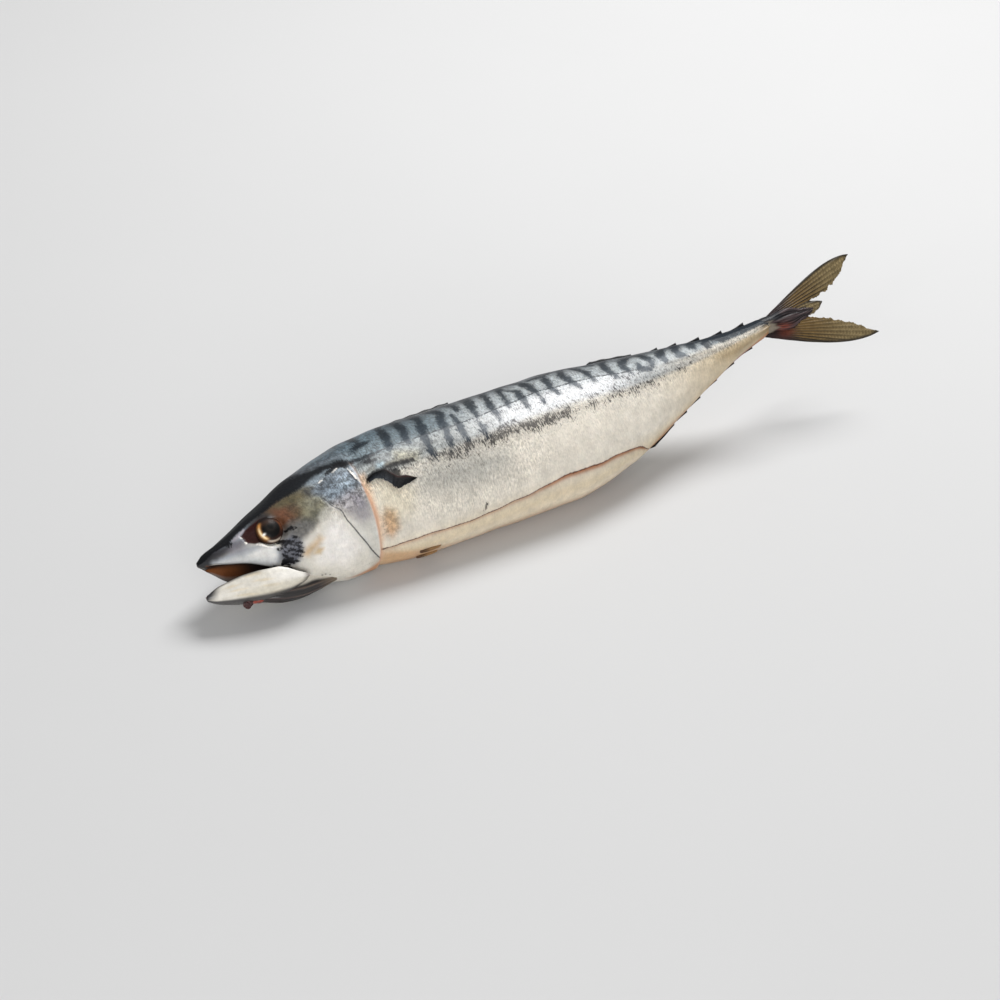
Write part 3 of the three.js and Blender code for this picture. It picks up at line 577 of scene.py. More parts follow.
# Wet mackerel skin: tiny thin scales over silver guanine, dark pigment above, cream below, under a film of
# slime and water. It reads as a satin half-metal with fine cross hatching and a clear wet coat.
class Nodes:
    """The nodes of one material."""

    def __init__(self, name):
        self.material = bpy.data.materials.new(name)
        self.material.use_nodes = True
        self.tree = self.material.node_tree
        self.shader = self.tree.nodes["Principled BSDF"]


def add(nodes, kind, inputs=(), **settings):
    """Adds one node: inputs are (socket, value or output to link), settings are its own properties."""
    node = nodes.tree.nodes.new("ShaderNode" + kind)
    for key, value in settings.items():
        setattr(node, key, value)
    for socket, value in inputs:
        if isinstance(value, bpy.types.NodeSocket):
            nodes.tree.links.new(value, node.inputs[socket])
        else:
            node.inputs[socket].default_value = value
    return node


def rgba(hex_colour):
    return (*linear(hex_colour), 1)


wet_skin = Nodes("wet_mackerel_skin")
place_mm = add(wet_skin, "TexCoord").outputs["Object"]
pattern_mm = add(wet_skin, "UVMap", uv_map="pattern").outputs["UV"]
# Noise cells are 6 mm for mottling, 2 mm for blotches and 1.1 mm for grain. Real scales are under 1 mm wide
# and their hatching is finer still: they are drawn as coarse as shows, 1.1 mm, and 0.5 by 2.5 mm.
coarse = add(wet_skin, "TexNoise", [("Vector", place_mm), ("Scale", 160), ("Detail", 5),
                                    ("Roughness", .65)])
fine = add(wet_skin, "TexNoise", [("Vector", place_mm), ("Scale", 900), ("Detail", 3), ("Roughness", .7)])
stretch = add(wet_skin, "Mapping", [("Vector", pattern_mm), ("Rotation", (0, 0, .3)),
                                    ("Scale", (1900, 400, 1))])
hatch = add(wet_skin, "TexNoise", [("Vector", stretch.outputs[0]), ("Scale", 1), ("Detail", 3),
                                   ("Roughness", .7)])
tone = add(wet_skin, "Attribute", attribute_name="tone").outputs["Color"]
silver, grain, blotches, membrane, dull = (
    add(wet_skin, "Attribute", attribute_name=layer).outputs["Fac"]
    for layer in ("silver", "grain", "blotches", "membrane", "dull"))
light = add(wet_skin, "MapRange", [("Value", coarse.outputs[0]), (1, .3), (2, .7), (3, .86), (4, 1.14)])
colour = add(wet_skin, "VectorMath", [(0, tone), (1, light.outputs[0])], operation="MULTIPLY").outputs[0]
half_fine = add(wet_skin, "Math", [(0, fine.outputs[0]), (1, .5), (2, .25)], operation="MULTIPLY_ADD")
crossing = add(wet_skin, "Math", [(0, hatch.outputs[0]), (1, half_fine.outputs[0])], operation="ADD")
frayed = add(wet_skin, "Math", [(0, coarse.outputs[0]), (1, .6), (2, -.3)], operation="MULTIPLY_ADD")
frayed = add(wet_skin, "Math", [(0, hatch.outputs[0]), (1, frayed.outputs[0])], operation="ADD")
hatch_light = add(wet_skin, "MapRange", [("Value", crossing.outputs[0]), (1, .84), (2, 1.16), (3, .35),
                                         (4, 1.55)])
hatched = add(wet_skin, "VectorMath", [(0, colour), (1, hatch_light.outputs[0])],
              operation="MULTIPLY").outputs[0]
mixed = add(wet_skin, "Mix", [(0, grain), (6, colour), (7, hatched)], data_type="RGBA")
blotch = add(wet_skin, "TexNoise", [("Vector", place_mm), ("Scale", 480), ("Detail", 4), ("Roughness", .7)])
blotch_light = add(wet_skin, "MapRange", [("Value", blotch.outputs[0]), (1, .4), (2, .6), (3, .45),
                                          (4, 1.6)])
blotched = add(wet_skin, "VectorMath", [(0, mixed.outputs[2]), (1, blotch_light.outputs[0])],
               operation="MULTIPLY")
mixed = add(wet_skin, "Mix", [(0, blotches), (6, mixed.outputs[2]), (7, blotched.outputs[0])],
            data_type="RGBA")
colour = mixed.outputs[2]
# Pigment in layers, and last the painted glints: name, colour, the noise that frays it, the softness and
# the fraying of its edge in mm, how much it covers, and how far it is widened in mm.
CRISP_LAYERS = (
    ("smudge", "#2a2829", frayed, .7, 22, .92, .4), ("bars", "#1a232c", frayed, .8, 9, .92, .25),
    ("crown", "#131519", frayed, 1, 5, .95, 0), ("lines", "#121216", frayed, .5, 5, .92, .2),
    ("freckles", "#121216", fine, .35, 2.2, .95, .1), ("orbit", "#35100b", coarse, .5, .8, .97, 0),
    # Painted glints: thin white highlights, laid like the pigment.
    ("pale", "#e9e5de", fine, .3, 1.4, .9, 0),
)
pigment = None
for layer, hex_colour, rough, soft, ragged, cover, offset in CRISP_LAYERS:
    reach = add(wet_skin, "Attribute", attribute_name=layer).outputs["Fac"]
    jitter = add(wet_skin, "Math", [(0, rough.outputs[0]), (1, ragged), (2, offset - ragged / 2)],
                 operation="MULTIPLY_ADD")
    edge = add(wet_skin, "Math", [(0, reach), (1, jitter.outputs[0])], operation="ADD")
    mask = add(wet_skin, "MapRange",
               [("Value", edge.outputs[0]), (1, -soft), (2, soft), (3, 0), (4, cover)],
               interpolation_type="SMOOTHSTEP")
    layered = add(wet_skin, "Mix", [(0, mask.outputs[0]), (6, colour), (7, rgba(hex_colour))],
                  data_type="RGBA")
    colour = layered.outputs[2]
    if pigment is None:
        pigment = mask
    elif layer != "pale":
        pigment = add(wet_skin, "Math", [(0, pigment.outputs[0]), (1, mask.outputs[0])],
                      operation="MAXIMUM")
# Fine lines: the lateral line's dots, the cheek's rear edge, the cut and the gill membrane.
THIN_LINES = (
    ("lateral", "#2e3338", .32, 2.6, .95), ("cheek", "#2f3336", .34, .7, .9),
    ("slit", "#4a2416", .68, 1.3, .95),
)
for layer, hex_colour, half, ragged, cover in THIN_LINES:
    reach = add(wet_skin, "Attribute", attribute_name=layer).outputs["Fac"]
    size = add(wet_skin, "Math", [(0, reach)], operation="ABSOLUTE")
    jitter = add(wet_skin, "Math", [(0, fine.outputs[0]), (1, ragged), (2, -ragged / 2)],
                 operation="MULTIPLY_ADD")
    edge = add(wet_skin, "Math", [(0, size.outputs[0]), (1, jitter.outputs[0])], operation="ADD")
    mask = add(wet_skin, "MapRange",
               [("Value", edge.outputs[0]), (1, half + .25), (2, half - .25), (3, 0), (4, cover)],
               interpolation_type="SMOOTHSTEP")
    layered = add(wet_skin, "Mix", [(0, mask.outputs[0]), (6, colour), (7, rgba(hex_colour))],
                  data_type="RGBA")
    colour = layered.outputs[2]
layered = add(wet_skin, "Mix", [(0, membrane), (6, colour), (7, rgba("#d8a98a"))], data_type="RGBA")
wet_skin.tree.links.new(layered.outputs[2], wet_skin.shader.inputs["Base Color"])
# Guanine under the dark pigment too: what the pigment covers mirrors only its own dark colour.
metal = add(wet_skin, "Math", [(0, silver), (1, .35)], operation="MULTIPLY")
dark_metal = add(wet_skin, "Math", [(0, pigment.outputs[0]), (1, .7)], operation="MULTIPLY")
metal = add(wet_skin, "Math", [(0, metal.outputs[0]), (1, dark_metal.outputs[0])], operation="MAXIMUM")
wet_skin.tree.links.new(metal.outputs[0], wet_skin.shader.inputs["Metallic"])
gloss = add(wet_skin, "MapRange", [("Value", fine.outputs[0]), (1, .3), (2, .7), (3, .36), (4, .58)])
gloss = add(wet_skin, "Math", [(0, dull), (1, .3), (2, gloss.outputs[0])], operation="MULTIPLY_ADD")
wet_skin.tree.links.new(gloss.outputs[0], wet_skin.shader.inputs["Roughness"])
wet_skin.shader.inputs["Specular IOR Level"].default_value = .35
wet_skin.shader.inputs["Coat Weight"].default_value = .1
wet_skin.shader.inputs["Coat Roughness"].default_value = .15
wet_skin.shader.inputs["Subsurface Weight"].default_value = .06
wet_skin.shader.inputs["Subsurface Radius"].default_value = (.004, .002, .001)
scales = add(wet_skin, "TexVoronoi", [("Vector", pattern_mm), ("Scale", 900)])
scale_bump = add(wet_skin, "Bump", [("Strength", .35), ("Distance", .0002), ("Height", scales.outputs[0])])
weave = add(wet_skin, "Math", [(0, grain), (1, .85), (2, .15)], operation="MULTIPLY_ADD")
weave = add(wet_skin, "Math", [(0, crossing.outputs[0]), (1, weave.outputs[0])], operation="MULTIPLY")
bump = add(wet_skin, "Bump", [("Strength", .5), ("Distance", .0003), ("Height", weave.outputs[0]),
                              ("Normal", scale_bump.outputs[0])])
wet_skin.tree.links.new(bump.outputs[0], wet_skin.shader.inputs["Normal"])

finish_piece(laid_grid("body_skin", len(rows_at), len(columns_at), skin_shape), wet_skin)


# ----------------------------------------------------------------------------------------------------
# The lower jaw: a bony trough hung at the cheeks, white skin outside, dark tip, tongue and mouth floor
# inside, with painted shade deep in the mouth and at its rear end. It gapes, and its rear end goes in under
# the cheeks.
JAW_START, JAW_END = -1.8, 42.5
jaw_rim = profile((-1.8, -14.7), (4, -13.2), (13, -12.9), (20, -13.7), (26, -15), (30, -15.8), (33, -17.4),
                  (37.5, -20.6), (42.5, -23.6))
jaw_underside = profile((-1.8, -16.5), (2, -18.9), (13, -22.6), (26, -25.5), (33, -26), (38, -25.3),
                        (42.5, -24))
jaw_half_width = profile((-1.8, 1.2), (4, 4.6), (13, 8), (25, 11.6), (34, 12.9), (42.5, 12))
JAW_ROWS = 130
JAW_OUTER, JAW_INNER = 64, 44
JAW_WALL = 1.0


def jaw_shape(row, column):
    s = row / (JAW_ROWS - 1)
    x = JAW_START + (JAW_END - JAW_START) * s ** 1.15
    rim, under, width = jaw_rim(x), jaw_underside(x), jaw_half_width(x)
    outer = column < JAW_OUTER
    angle = np.where(outer, -90 + 180 * column / (JAW_OUTER - 1),
                     90 - 180 * (column - JAW_OUTER) / (JAW_INNER - 1))
    cos, sin = np.abs(np.cos(np.radians(angle))), np.sin(np.radians(angle))
    wall = JAW_WALL * np.minimum(1, .25 + (x + 1.8) / 4)
    floor_depth = (rim - under) * .52 * ease(x, -1.4, 6)
    left = np.where(outer, width, width - wall) * np.sign(sin) * np.abs(sin) ** .72
    back = rim - np.where(outer, rim - under, floor_depth) * cos ** .72
    tongue = np.exp(-(left / 3.2) ** 2) * ease(x, 8, 18) * 1.1
    back = back + np.where(outer, 0, tongue)
    edge = np.where(cos < .3, .35 * (1 - cos / .3), 0)
    back = back + edge
    ridge = np.where(outer, .35 * np.exp(-((np.abs(angle) - 62) / 9) ** 2) * ease(x, 4, 14), 0)
    left = left + np.sign(left) * ridge
    ends = 1 - (row == 0) * .75 - (row == JAW_ROWS - 1) * .3
    middle = (rim + under) / 2
    points = place(x, middle + (back - middle) * ends, left * ends)
    low = 1 - cos ** .72
    streak = ease(np.sin(low * 26 + x / 5) + .5 * np.sin(x / 2.1 + 6 * low), .2, 1.3)
    colour = blend("#d8d3c8", "#ece8e0", ease(x, 22, 30) * (1 - ease(1 - low, .4, .8)))
    colour = blend(colour, "#cdb689", .38 * streak * ease(x, 3, 9) * (1 - ease(x, 22, 34)))
    colour = blend(colour, "#cfc5ac", .45 * ease(1 - low, .4, .85) * ease(x, 4, 20))
    # Painted shade: the rear end of the jaw darkens where it goes in under the cheeks.
    colour = blend(colour, "#6b625c", .75 * ease(x, 38.6, 41.6))
    colour = blend(colour, "#1d1d21", 1 - ease(x + 5 * (1 - low), .5, 6.5))
    colour = blend(colour, "#26262b", .92 * ease(1 - low, .84, .95))
    colour = blend(colour, "#2f2b28", .9 * ease(low, .9, .97) * (1 - ease(x, 18, 27)))
    # The mouth floor: orange-brown at the front, darkening towards the back as painted shade deep in the
    # mouth.
    inner = blend("#6e3d20", "#1d0f0d", ease(x, 8, 22))
    colour = blend(colour, inner, np.where(outer, 0, ease(cos, .1, .35)))
    return points, {"tone": colour}, np.stack([x, angle / 5], -1)


def painted_material(name, roughness, coat, mottle=.22):
    """A wet surface whose soft colour is painted on its mesh, with fine mottling and grain from noise."""
    nodes = Nodes(name)
    where = add(nodes, "TexCoord").outputs["Object"]
    speckle = add(nodes, "TexNoise", [("Vector", where), ("Scale", 420), ("Detail", 5), ("Roughness", .7)])
    level = add(nodes, "MapRange", [("Value", speckle.outputs[0]), (1, .3), (2, .7), (3, 1 - mottle),
                                    (4, 1 + mottle)])
    tint = add(nodes, "Attribute", attribute_name="tone").outputs["Color"]
    dappled = add(nodes, "VectorMath", [(0, tint), (1, level.outputs[0])], operation="MULTIPLY")
    nodes.tree.links.new(dappled.outputs[0], nodes.shader.inputs["Base Color"])
    rough = add(nodes, "MapRange", [("Value", speckle.outputs[0]), (1, .3), (2, .7), (3, roughness - .08),
                                    (4, roughness + .12)])
    nodes.tree.links.new(rough.outputs[0], nodes.shader.inputs["Roughness"])
    grain = add(nodes, "Bump", [("Strength", .35), ("Distance", .0002), ("Height", speckle.outputs[0])])
    nodes.tree.links.new(grain.outputs[0], nodes.shader.inputs["Normal"])
    nodes.shader.inputs["Coat Weight"].default_value = coat
    nodes.shader.inputs["Coat Roughness"].default_value = .1
    return nodes


# Thin wet skin over jaw bone: smooth, near white, a little streaked.
finish_piece(laid_grid("lower_jaw", JAW_ROWS, JAW_OUTER + JAW_INNER, jaw_shape),
             painted_material("wet_jaw_skin", .36, .25, .14))


# ----------------------------------------------------------------------------------------------------
# The throat: the folded gill membranes between the jaws, dark purple-brown and wet, gathered in long
# pleats under the gill covers.
THROAT_START, THROAT_END = 20, 79
throat_under = profile((20, -24.6), (32, -28.8), (40, -29.6), (48, -29), (56, -27.9), (64, -26.8),
                       (72, -24), (79, -20))
throat_width = profile((20, 3), (32, 6), (48, 5.6), (62, 4.6), (79, 3))
THROAT_ROWS, THROAT_COLUMNS, THROAT_TOP = 110, 120, -12


def throat_shape(row, column):
    s = row / (THROAT_ROWS - 1)
    x = THROAT_START + (THROAT_END - THROAT_START) * s
    turn = 2 * math.pi * column / (THROAT_COLUMNS - 1)
    middle, half = (THROAT_TOP + throat_under(x)) / 2, (THROAT_TOP - throat_under(x)) / 2
    cos, sin = np.cos(turn), np.sin(turn)
    pleat = np.abs(np.sin(turn * 5.5 + x / 11 + .7 * np.sin(x / 8))) ** .6 - .6
    pleat = pleat + .35 * np.sin(turn * 23 + x / 3.1)
    swell = 1 + .07 * pleat * ease(cos, -.5, .4)
    back = middle - half * np.sign(cos) * np.abs(cos) ** .9 * np.minimum(swell, 1.02)
    left = throat_width(x) * np.sign(sin) * np.abs(sin) ** .9 * swell
    ends = 1 - (row == 0) * .6 - (row == THROAT_ROWS - 1) * .4
    points = place(x, middle + (back - middle) * ends, left * ends)
    # Painted shade and sheen: the colour follows the pleats, near black in their troughs, lighter on their
    # crests and palest on the crests further back.
    colour = blend("#15100f", "#3b2e2b", ease(pleat, -.1, .7))
    colour = blend(colour, "#85735f", .45 * ease(pleat, .45, .85) * ease(x, 30, 44))
    colour = blend(colour, "#86735a", .65 * ease(x, 46, 60))
    above = back - throat_under(x) + 2.6 * ease(x, 44, 56)
    colour = blend(colour, "#cdc6b8", .92 * ease(above, 3.6, 5) * ease(x, 34, 42))
    return points, {"tone": colour}, np.stack([x, turn * 5], -1)


# Thin wet membrane over gill bones: slack, dark and shiny.
finish_piece(laid_grid("throat_membranes", THROAT_ROWS, THROAT_COLUMNS, throat_shape),
             painted_material("wet_gill_membrane", .4, .3))


# ----------------------------------------------------------------------------------------------------
# The tuft of red gill flesh that shows below the jaw: two soft wet lobes of blood-filled tissue.
TUFT_RADIUS = 2.6
TUFTS = (("front", (14.8, -23.8), (.95, .7, 1.05), "#3a100e"),
         ("rear", (20.5, -23.6), (2.1, .8, .68), "#8c3a2c"))
for side_name, (x, back), stretch_of, shade in TUFTS:
    lobe = bmesh.new()
    bmesh.ops.create_icosphere(lobe, subdivisions=5, radius=1)
    for knot in lobe.verts:
        a, b, c = knot.co
        ruffle = 1 + .12 * math.sin(5 * a + 3 * c) * math.sin(6 * b + x)
        ruffle = ruffle - .2 * abs(math.sin(6 * a + 5 * b + x))
        droop = 1 - .4 * max(-c, 0)
        offset = np.array([a * droop, b * droop, c]) * stretch_of * TUFT_RADIUS * min(ruffle, 1)
        knot.co = in_frame(place(x, back, 0) + offset)
    tuft = made("gill_tuft_" + side_name, lobe)
    paint_layer(tuft.data, "tone", np.tile(linear(shade), (len(tuft.data.vertices), 1)))
    # Raw gill tissue: soft, full of blood and wet.
    finish_piece(tuft, painted_material("wet_gill_flesh_" + side_name, .35, .3))


# ----------------------------------------------------------------------------------------------------
# The eyes: wet balls behind a clear skin, with a near-black pupil, a thin golden ring that shows in front
# and a brown haze behind. A glint, a sheen in the pupil, the brow's shade and the floor's reflection are
# painted on them. Each sits in its socket.
EYE_RADIUS, EYE_HALF_DEPTH, EYE_SUNK, EYE_RING = 6.3, 4, 3.1, 5.25


def eye_tone(ahead, up):
    """The colour at a place of the eye's face, in mm from its middle to the tail and to the back.
    A sheen in the pupil, the brow's shade, a glint and a reflection of the floor are painted in it.
    """
    gap = np.hypot(ahead + .3, up + .3)
    angle = np.degrees(np.arctan2(up, -ahead))
    colour = blend("#2c1a14", "#7a4a30", ease(ahead, 1, 5) * ease(up, -4, 1))
    colour = blend(colour, "#060505", 1 - ease(gap, 3.6, 4.8))
    # A painted sheen: a faint grey-brown ring of reflection inside the pupil.
    colour = blend(colour, "#241f1b", .6 * np.exp(-((np.hypot(ahead + .2, up - .6) - 1.9) / .7) ** 2))
    colour = blend(colour, "#38251b", .8 * ease(up, .8, 3.2))
    # Painted shade of the brow: the top of the eye darkens under the skin above it.
    colour = blend(colour, "#1a1110", ease(up, 3, 5))
    ring_gap = np.hypot(ahead, up) - EYE_RING
    ring = np.exp(-(ring_gap / .6) ** 2) * ease(-np.abs(angle + 4), -62, -34)
    colour = blend(colour, "#c98d4e", ring)
    colour = blend(colour, "#ffe6b4", np.exp(-(ring_gap / .36) ** 2) * ease(-np.abs(angle + 14), -46, -20))
    # A painted glint: a small white highlight on the ring's lower front.
    glint = np.exp(-(((ahead + 4.3) / .75) ** 2 + ((up + 1.7) / .55) ** 2) * 1.4)
    colour = blend(colour, "#fffdf6", 1.3 * glint)
    # A painted reflection of the pale floor: a thin light arc along the lower edge of the eye.
    rim = np.exp(-((ring_gap - .5) / .3) ** 2) * ease(-np.abs(angle + 85), -40, -20)
    return blend(colour, "#d9c9b8", .8 * rim)


eye_surface = painted_material("wet_eyeball", .5, .04, .15)
eye_surface.shader.inputs["Specular IOR Level"].default_value = .15
for side_name, side in (("left", 1), ("right", -1)):
    ball = bmesh.new()
    bmesh.ops.create_uvsphere(ball, u_segments=96, v_segments=72, radius=1)
    surface = skin(EYE_PLACE[0], side * EYE_PLACE[1])
    outward = Vector(skin(EYE_PLACE[0], side * EYE_PLACE[1], 1) - surface).normalized()
    forward = Vector(skin(EYE_PLACE[0] + 1, side * EYE_PLACE[1]) - surface)
    forward = (forward - outward * forward.dot(outward)).normalized()
    upward = outward.cross(forward)
    if upward.dot(Vector(place(30, 1, 0) - place(30, 0, 0))) < 0:
        upward = -upward
    face = np.array([(knot.co.x * EYE_RADIUS, knot.co.y * EYE_RADIUS) for knot in ball.verts])
    for knot in ball.verts:
        a, b, c = knot.co.x * EYE_RADIUS, knot.co.y * EYE_RADIUS, knot.co.z * EYE_HALF_DEPTH - EYE_SUNK
        knot.co = in_frame(surface + np.array(forward * a + upward * b + outward * c))
    # The right eye is mirrored, so its faces are turned outwards again.
    ball.normal_update()
    bmesh.ops.recalc_face_normals(ball, faces=ball.faces)
    eyeball = made("eyeball_" + side_name, ball)
    paint_layer(eyeball.data, "tone", eye_tone(face[:, 0], face[:, 1]))
    finish_piece(eyeball, eye_surface, "eye_" + side_name)


# ----------------------------------------------------------------------------------------------------
# The fins of the midline: folded dorsal and anal fins and the finlets, each a thin web on soft rays. They
# grow from the back and the belly.
def two_faces(column, across):
    """Where a column lies from the front edge, 0, to the rear edge, 1, and on which face, 1 or -1.
    The last column lies on the first, so that the two faces close into one skin."""
    column = column % (2 * across)
    upper = column < across
    return np.where(upper, column, 2 * across - 1 - column) / (across - 1), np.where(upper, 1, -1)


def blade_shape(rows, across, front, rear, half_thickness, normal, paint, rays=0, ray_height=0, ragged=0):
    """A thin blade between a front edge and a rear edge. Each runs from the root, 0, to the tip, 1."""
    def shape(row, column):
        s = row / (rows - 1)
        part, side = two_faces(column, across)
        torn = ragged * (.5 + .5 * np.sin(s * 61 + 3 * np.sin(s * 23))) * ease(s, .08, .3)
        f, r = front(s), rear(s)
        flat = f + (r - f) * (part * (1 - torn))[:, None]
        rounding = np.minimum(1, np.minimum(part, 1 - part) * 6 + .12) * np.minimum(1, (1 - s) * 12 + .2)
        ridge = ray_height * np.cos(part * rays * 2 * math.pi) * rounding if rays else 0
        points = flat + normal(s) * (side * (half_thickness(s) * rounding) + ridge)[:, None]
        points[:, 2] = np.maximum(points[:, 2], 0)
        return points, {"tone": paint(s, part)}, np.stack([s * 30, part * 15], -1)

    return shape


FIN_ROWS, FIN_ACROSS, FIN_ROOT = 90, 9, -1.2


def midline_fin(name, start, end, front_height, rear_height, angle, paint):
    across = skin((start + end) / 2, angle + 90) - skin((start + end) / 2, angle - 90)
    across = across / np.linalg.norm(across)

    def rim(s):
        x = start + (end - start) * s
        notch = .93 + .07 * np.sin(s * (end - start) * .8)
        height = (front_height + (rear_height - front_height) * s) * np.minimum(1, 5 * s + .15) * notch
        return skin(x, angle, height * .97)

    def root(s):
        return skin(start + (end - start) * s, angle, FIN_ROOT)

    shape = blade_shape(FIN_ROWS, FIN_ACROSS, root, rim, lambda s: .42 + 0 * s, lambda s: across, paint)
    finish_piece(laid_grid(name, FIN_ROWS, 2 * FIN_ACROSS + 1, shape), fin_web)


# Fin web: thin skin between bony rays, dark olive to black, wet and a little see-through in life.
fin_web = painted_material("wet_fin_web", .46, .06, .3)
fin_web.shader.inputs["Specular IOR Level"].default_value = .2


def dark_to(tip, root):
    """Paint for a web that is dark at its rim, and all dark from a share of its length on."""
    def paint(s, part):
        colour = blend(root, "#17181b", ease(part + .1 * np.sin(s * 31), .2, .6))
        return blend(colour, "#121316", ease(s, tip - .15, tip + .1))
    return paint


midline_fin("first_dorsal_fin", 108, 147, 1.4, 3.2, 180, dark_to(.72, "#6b4a44"))
midline_fin("second_dorsal_fin", 219, 243, 3.2, 1.6, 180, dark_to(.05, "#8f9599"))
midline_fin("anal_fin", 230, 247, 1.4, .6, 0, dark_to(2, "#b98a62"))
FINLET_PLACES = (249, 258.5, 270, 281.5, 293)
FINLET_ROWS, FINLET_ACROSS, FINLET_LENGTH = 26, 7, 7
for side_name, angle, height, root_colour in (("dorsal", 180, 1.7, "#2a2c30"),
                                              ("ventral", 0, .8, "#a87550")):
    for number, start in enumerate(FINLET_PLACES, 1):
        across = skin(start, angle + 90) - skin(start, angle - 90)
        across = across / np.linalg.norm(across)
        shape = blade_shape(
            FINLET_ROWS, FINLET_ACROSS, lambda s: skin(start + FINLET_LENGTH * s, angle, FIN_ROOT),
            lambda s: skin(start + FINLET_LENGTH * s, angle, .97 * height * (.1 + .9 * s ** 1.3)),
            lambda s: .5 - .25 * s, lambda s: across, dark_to(2 if angle == 0 else .5, root_colour))
        finlet = laid_grid(f"{side_name}_finlet_{number}", FINLET_ROWS, 2 * FINLET_ACROSS + 1, shape)
        finish_piece(finlet, fin_web)


# ----------------------------------------------------------------------------------------------------
# The paired fins, pectoral behind the gill cover and pelvic on the belly, folded flat on the skin: short
# fans of stiff rays with a thin dark web.
FAN_ROWS, FAN_ACROSS, FAN_RIDGE = 90, 50, .14


def paired_fin(name, side, top_edge, low_edge, lift, rays, ragged, paint):
    """A folded fan between its upper and its lower edge, each a row of (mm, degrees) from root to tip."""
    def edge(knots):
        at = np.linspace(0, 1, len(knots))
        places, angles = (profile(*zip(at, column)) for column in zip(*knots))
        return lambda s: skin(places(s), side * angles(s),
                              lift * (.2 + .8 * np.sin(math.pi * s) ** .5) - .1)
    middle = (top_edge[0][1] + low_edge[0][1]) / 2
    outward = skin(top_edge[0][0], side * middle, 1) - skin(top_edge[0][0], side * middle)
    shape = blade_shape(FAN_ROWS, FAN_ACROSS, edge(top_edge), edge(low_edge), lambda s: .6 - .25 * s,
                        lambda s: outward, paint, rays, FAN_RIDGE, ragged)
    finish_piece(laid_grid(name, FAN_ROWS, 2 * FAN_ACROSS + 1, shape), fin_web)


def pectoral_paint(s, part):
    colour = blend("#0f1013", "#6d7884",
                   .6 * ease(np.sin(part * 60), .2, 1) * ease(part, .35, .8) * ease(-s, -.62, -.4))
    return blend(colour, "#2c1612", (1 - ease(part, .1, .3)) * ease(s, .2, .5))


def pelvic_paint(s, part):
    colour = blend("#8a6a48", "#3a2820", .8 * (1 - ease(s, .2, .6)))
    return blend(colour, "#b3936a", .5 * ease(np.sin(part * 25), .3, 1) * ease(s, .3, .6))


for side_name, side in (("left", 1), ("right", -1)):
    paired_fin("pectoral_fin_" + side_name, side,
               [(81, 98), (85, 100), (90, 99.5), (92, 95), (94.8, 89), (98, 87.5), (101, 84), (103, 82)],
               [(81.5, 94), (84.2, 94.5), (87, 91.5), (89.5, 86), (91, 80.5), (93, 79), (98, 80),
                (102.5, 81.5)],
               1.1, 9, .13, pectoral_paint)
    paired_fin("pelvic_fin_" + side_name, side, [(98, 9), (103, 9), (109, 7)],
               [(98, 5.5), (103, 5), (108, 5.5)],
               .5, 4, 0, pelvic_paint)


# ----------------------------------------------------------------------------------------------------
# The tail: a fleshy dark root and two stiff lobes of close-set rays, olive brown and thin, with ragged
# rear edges and a torn scrap between them. The root grows out of the trunk.
TAIL_ROLL, TAIL_RISE = math.radians(50), math.radians(5)
to_back = np.array([0, math.cos(TAIL_ROLL), math.sin(TAIL_ROLL)])
to_left = np.array([0, -math.sin(TAIL_ROLL), math.cos(TAIL_ROLL)])
to_end = np.array([math.cos(TAIL_RISE), 0, 0]) + math.sin(TAIL_RISE) * to_left


def tail_place(along, back, left=0):
    along, back, left = (np.asarray(value, float)[..., None]
                         for value in np.broadcast_arrays(along, back, left))
    return place(TRUNK_END, 0, 0) + along * to_end + back * to_back + left * to_left


def bezier(corners, s):
    s = np.asarray(s)[:, None]
    a, b, c, d = np.array(corners, float)
    return (1 - s) ** 3 * a + 3 * (1 - s) ** 2 * s * b + 3 * (1 - s) * s * s * c + s ** 3 * d


RAY_ORIGIN = -14
RAYS_PER_RADIAN = 25
LOBE_ROWS, LOBE_ACROSS = 170, 110


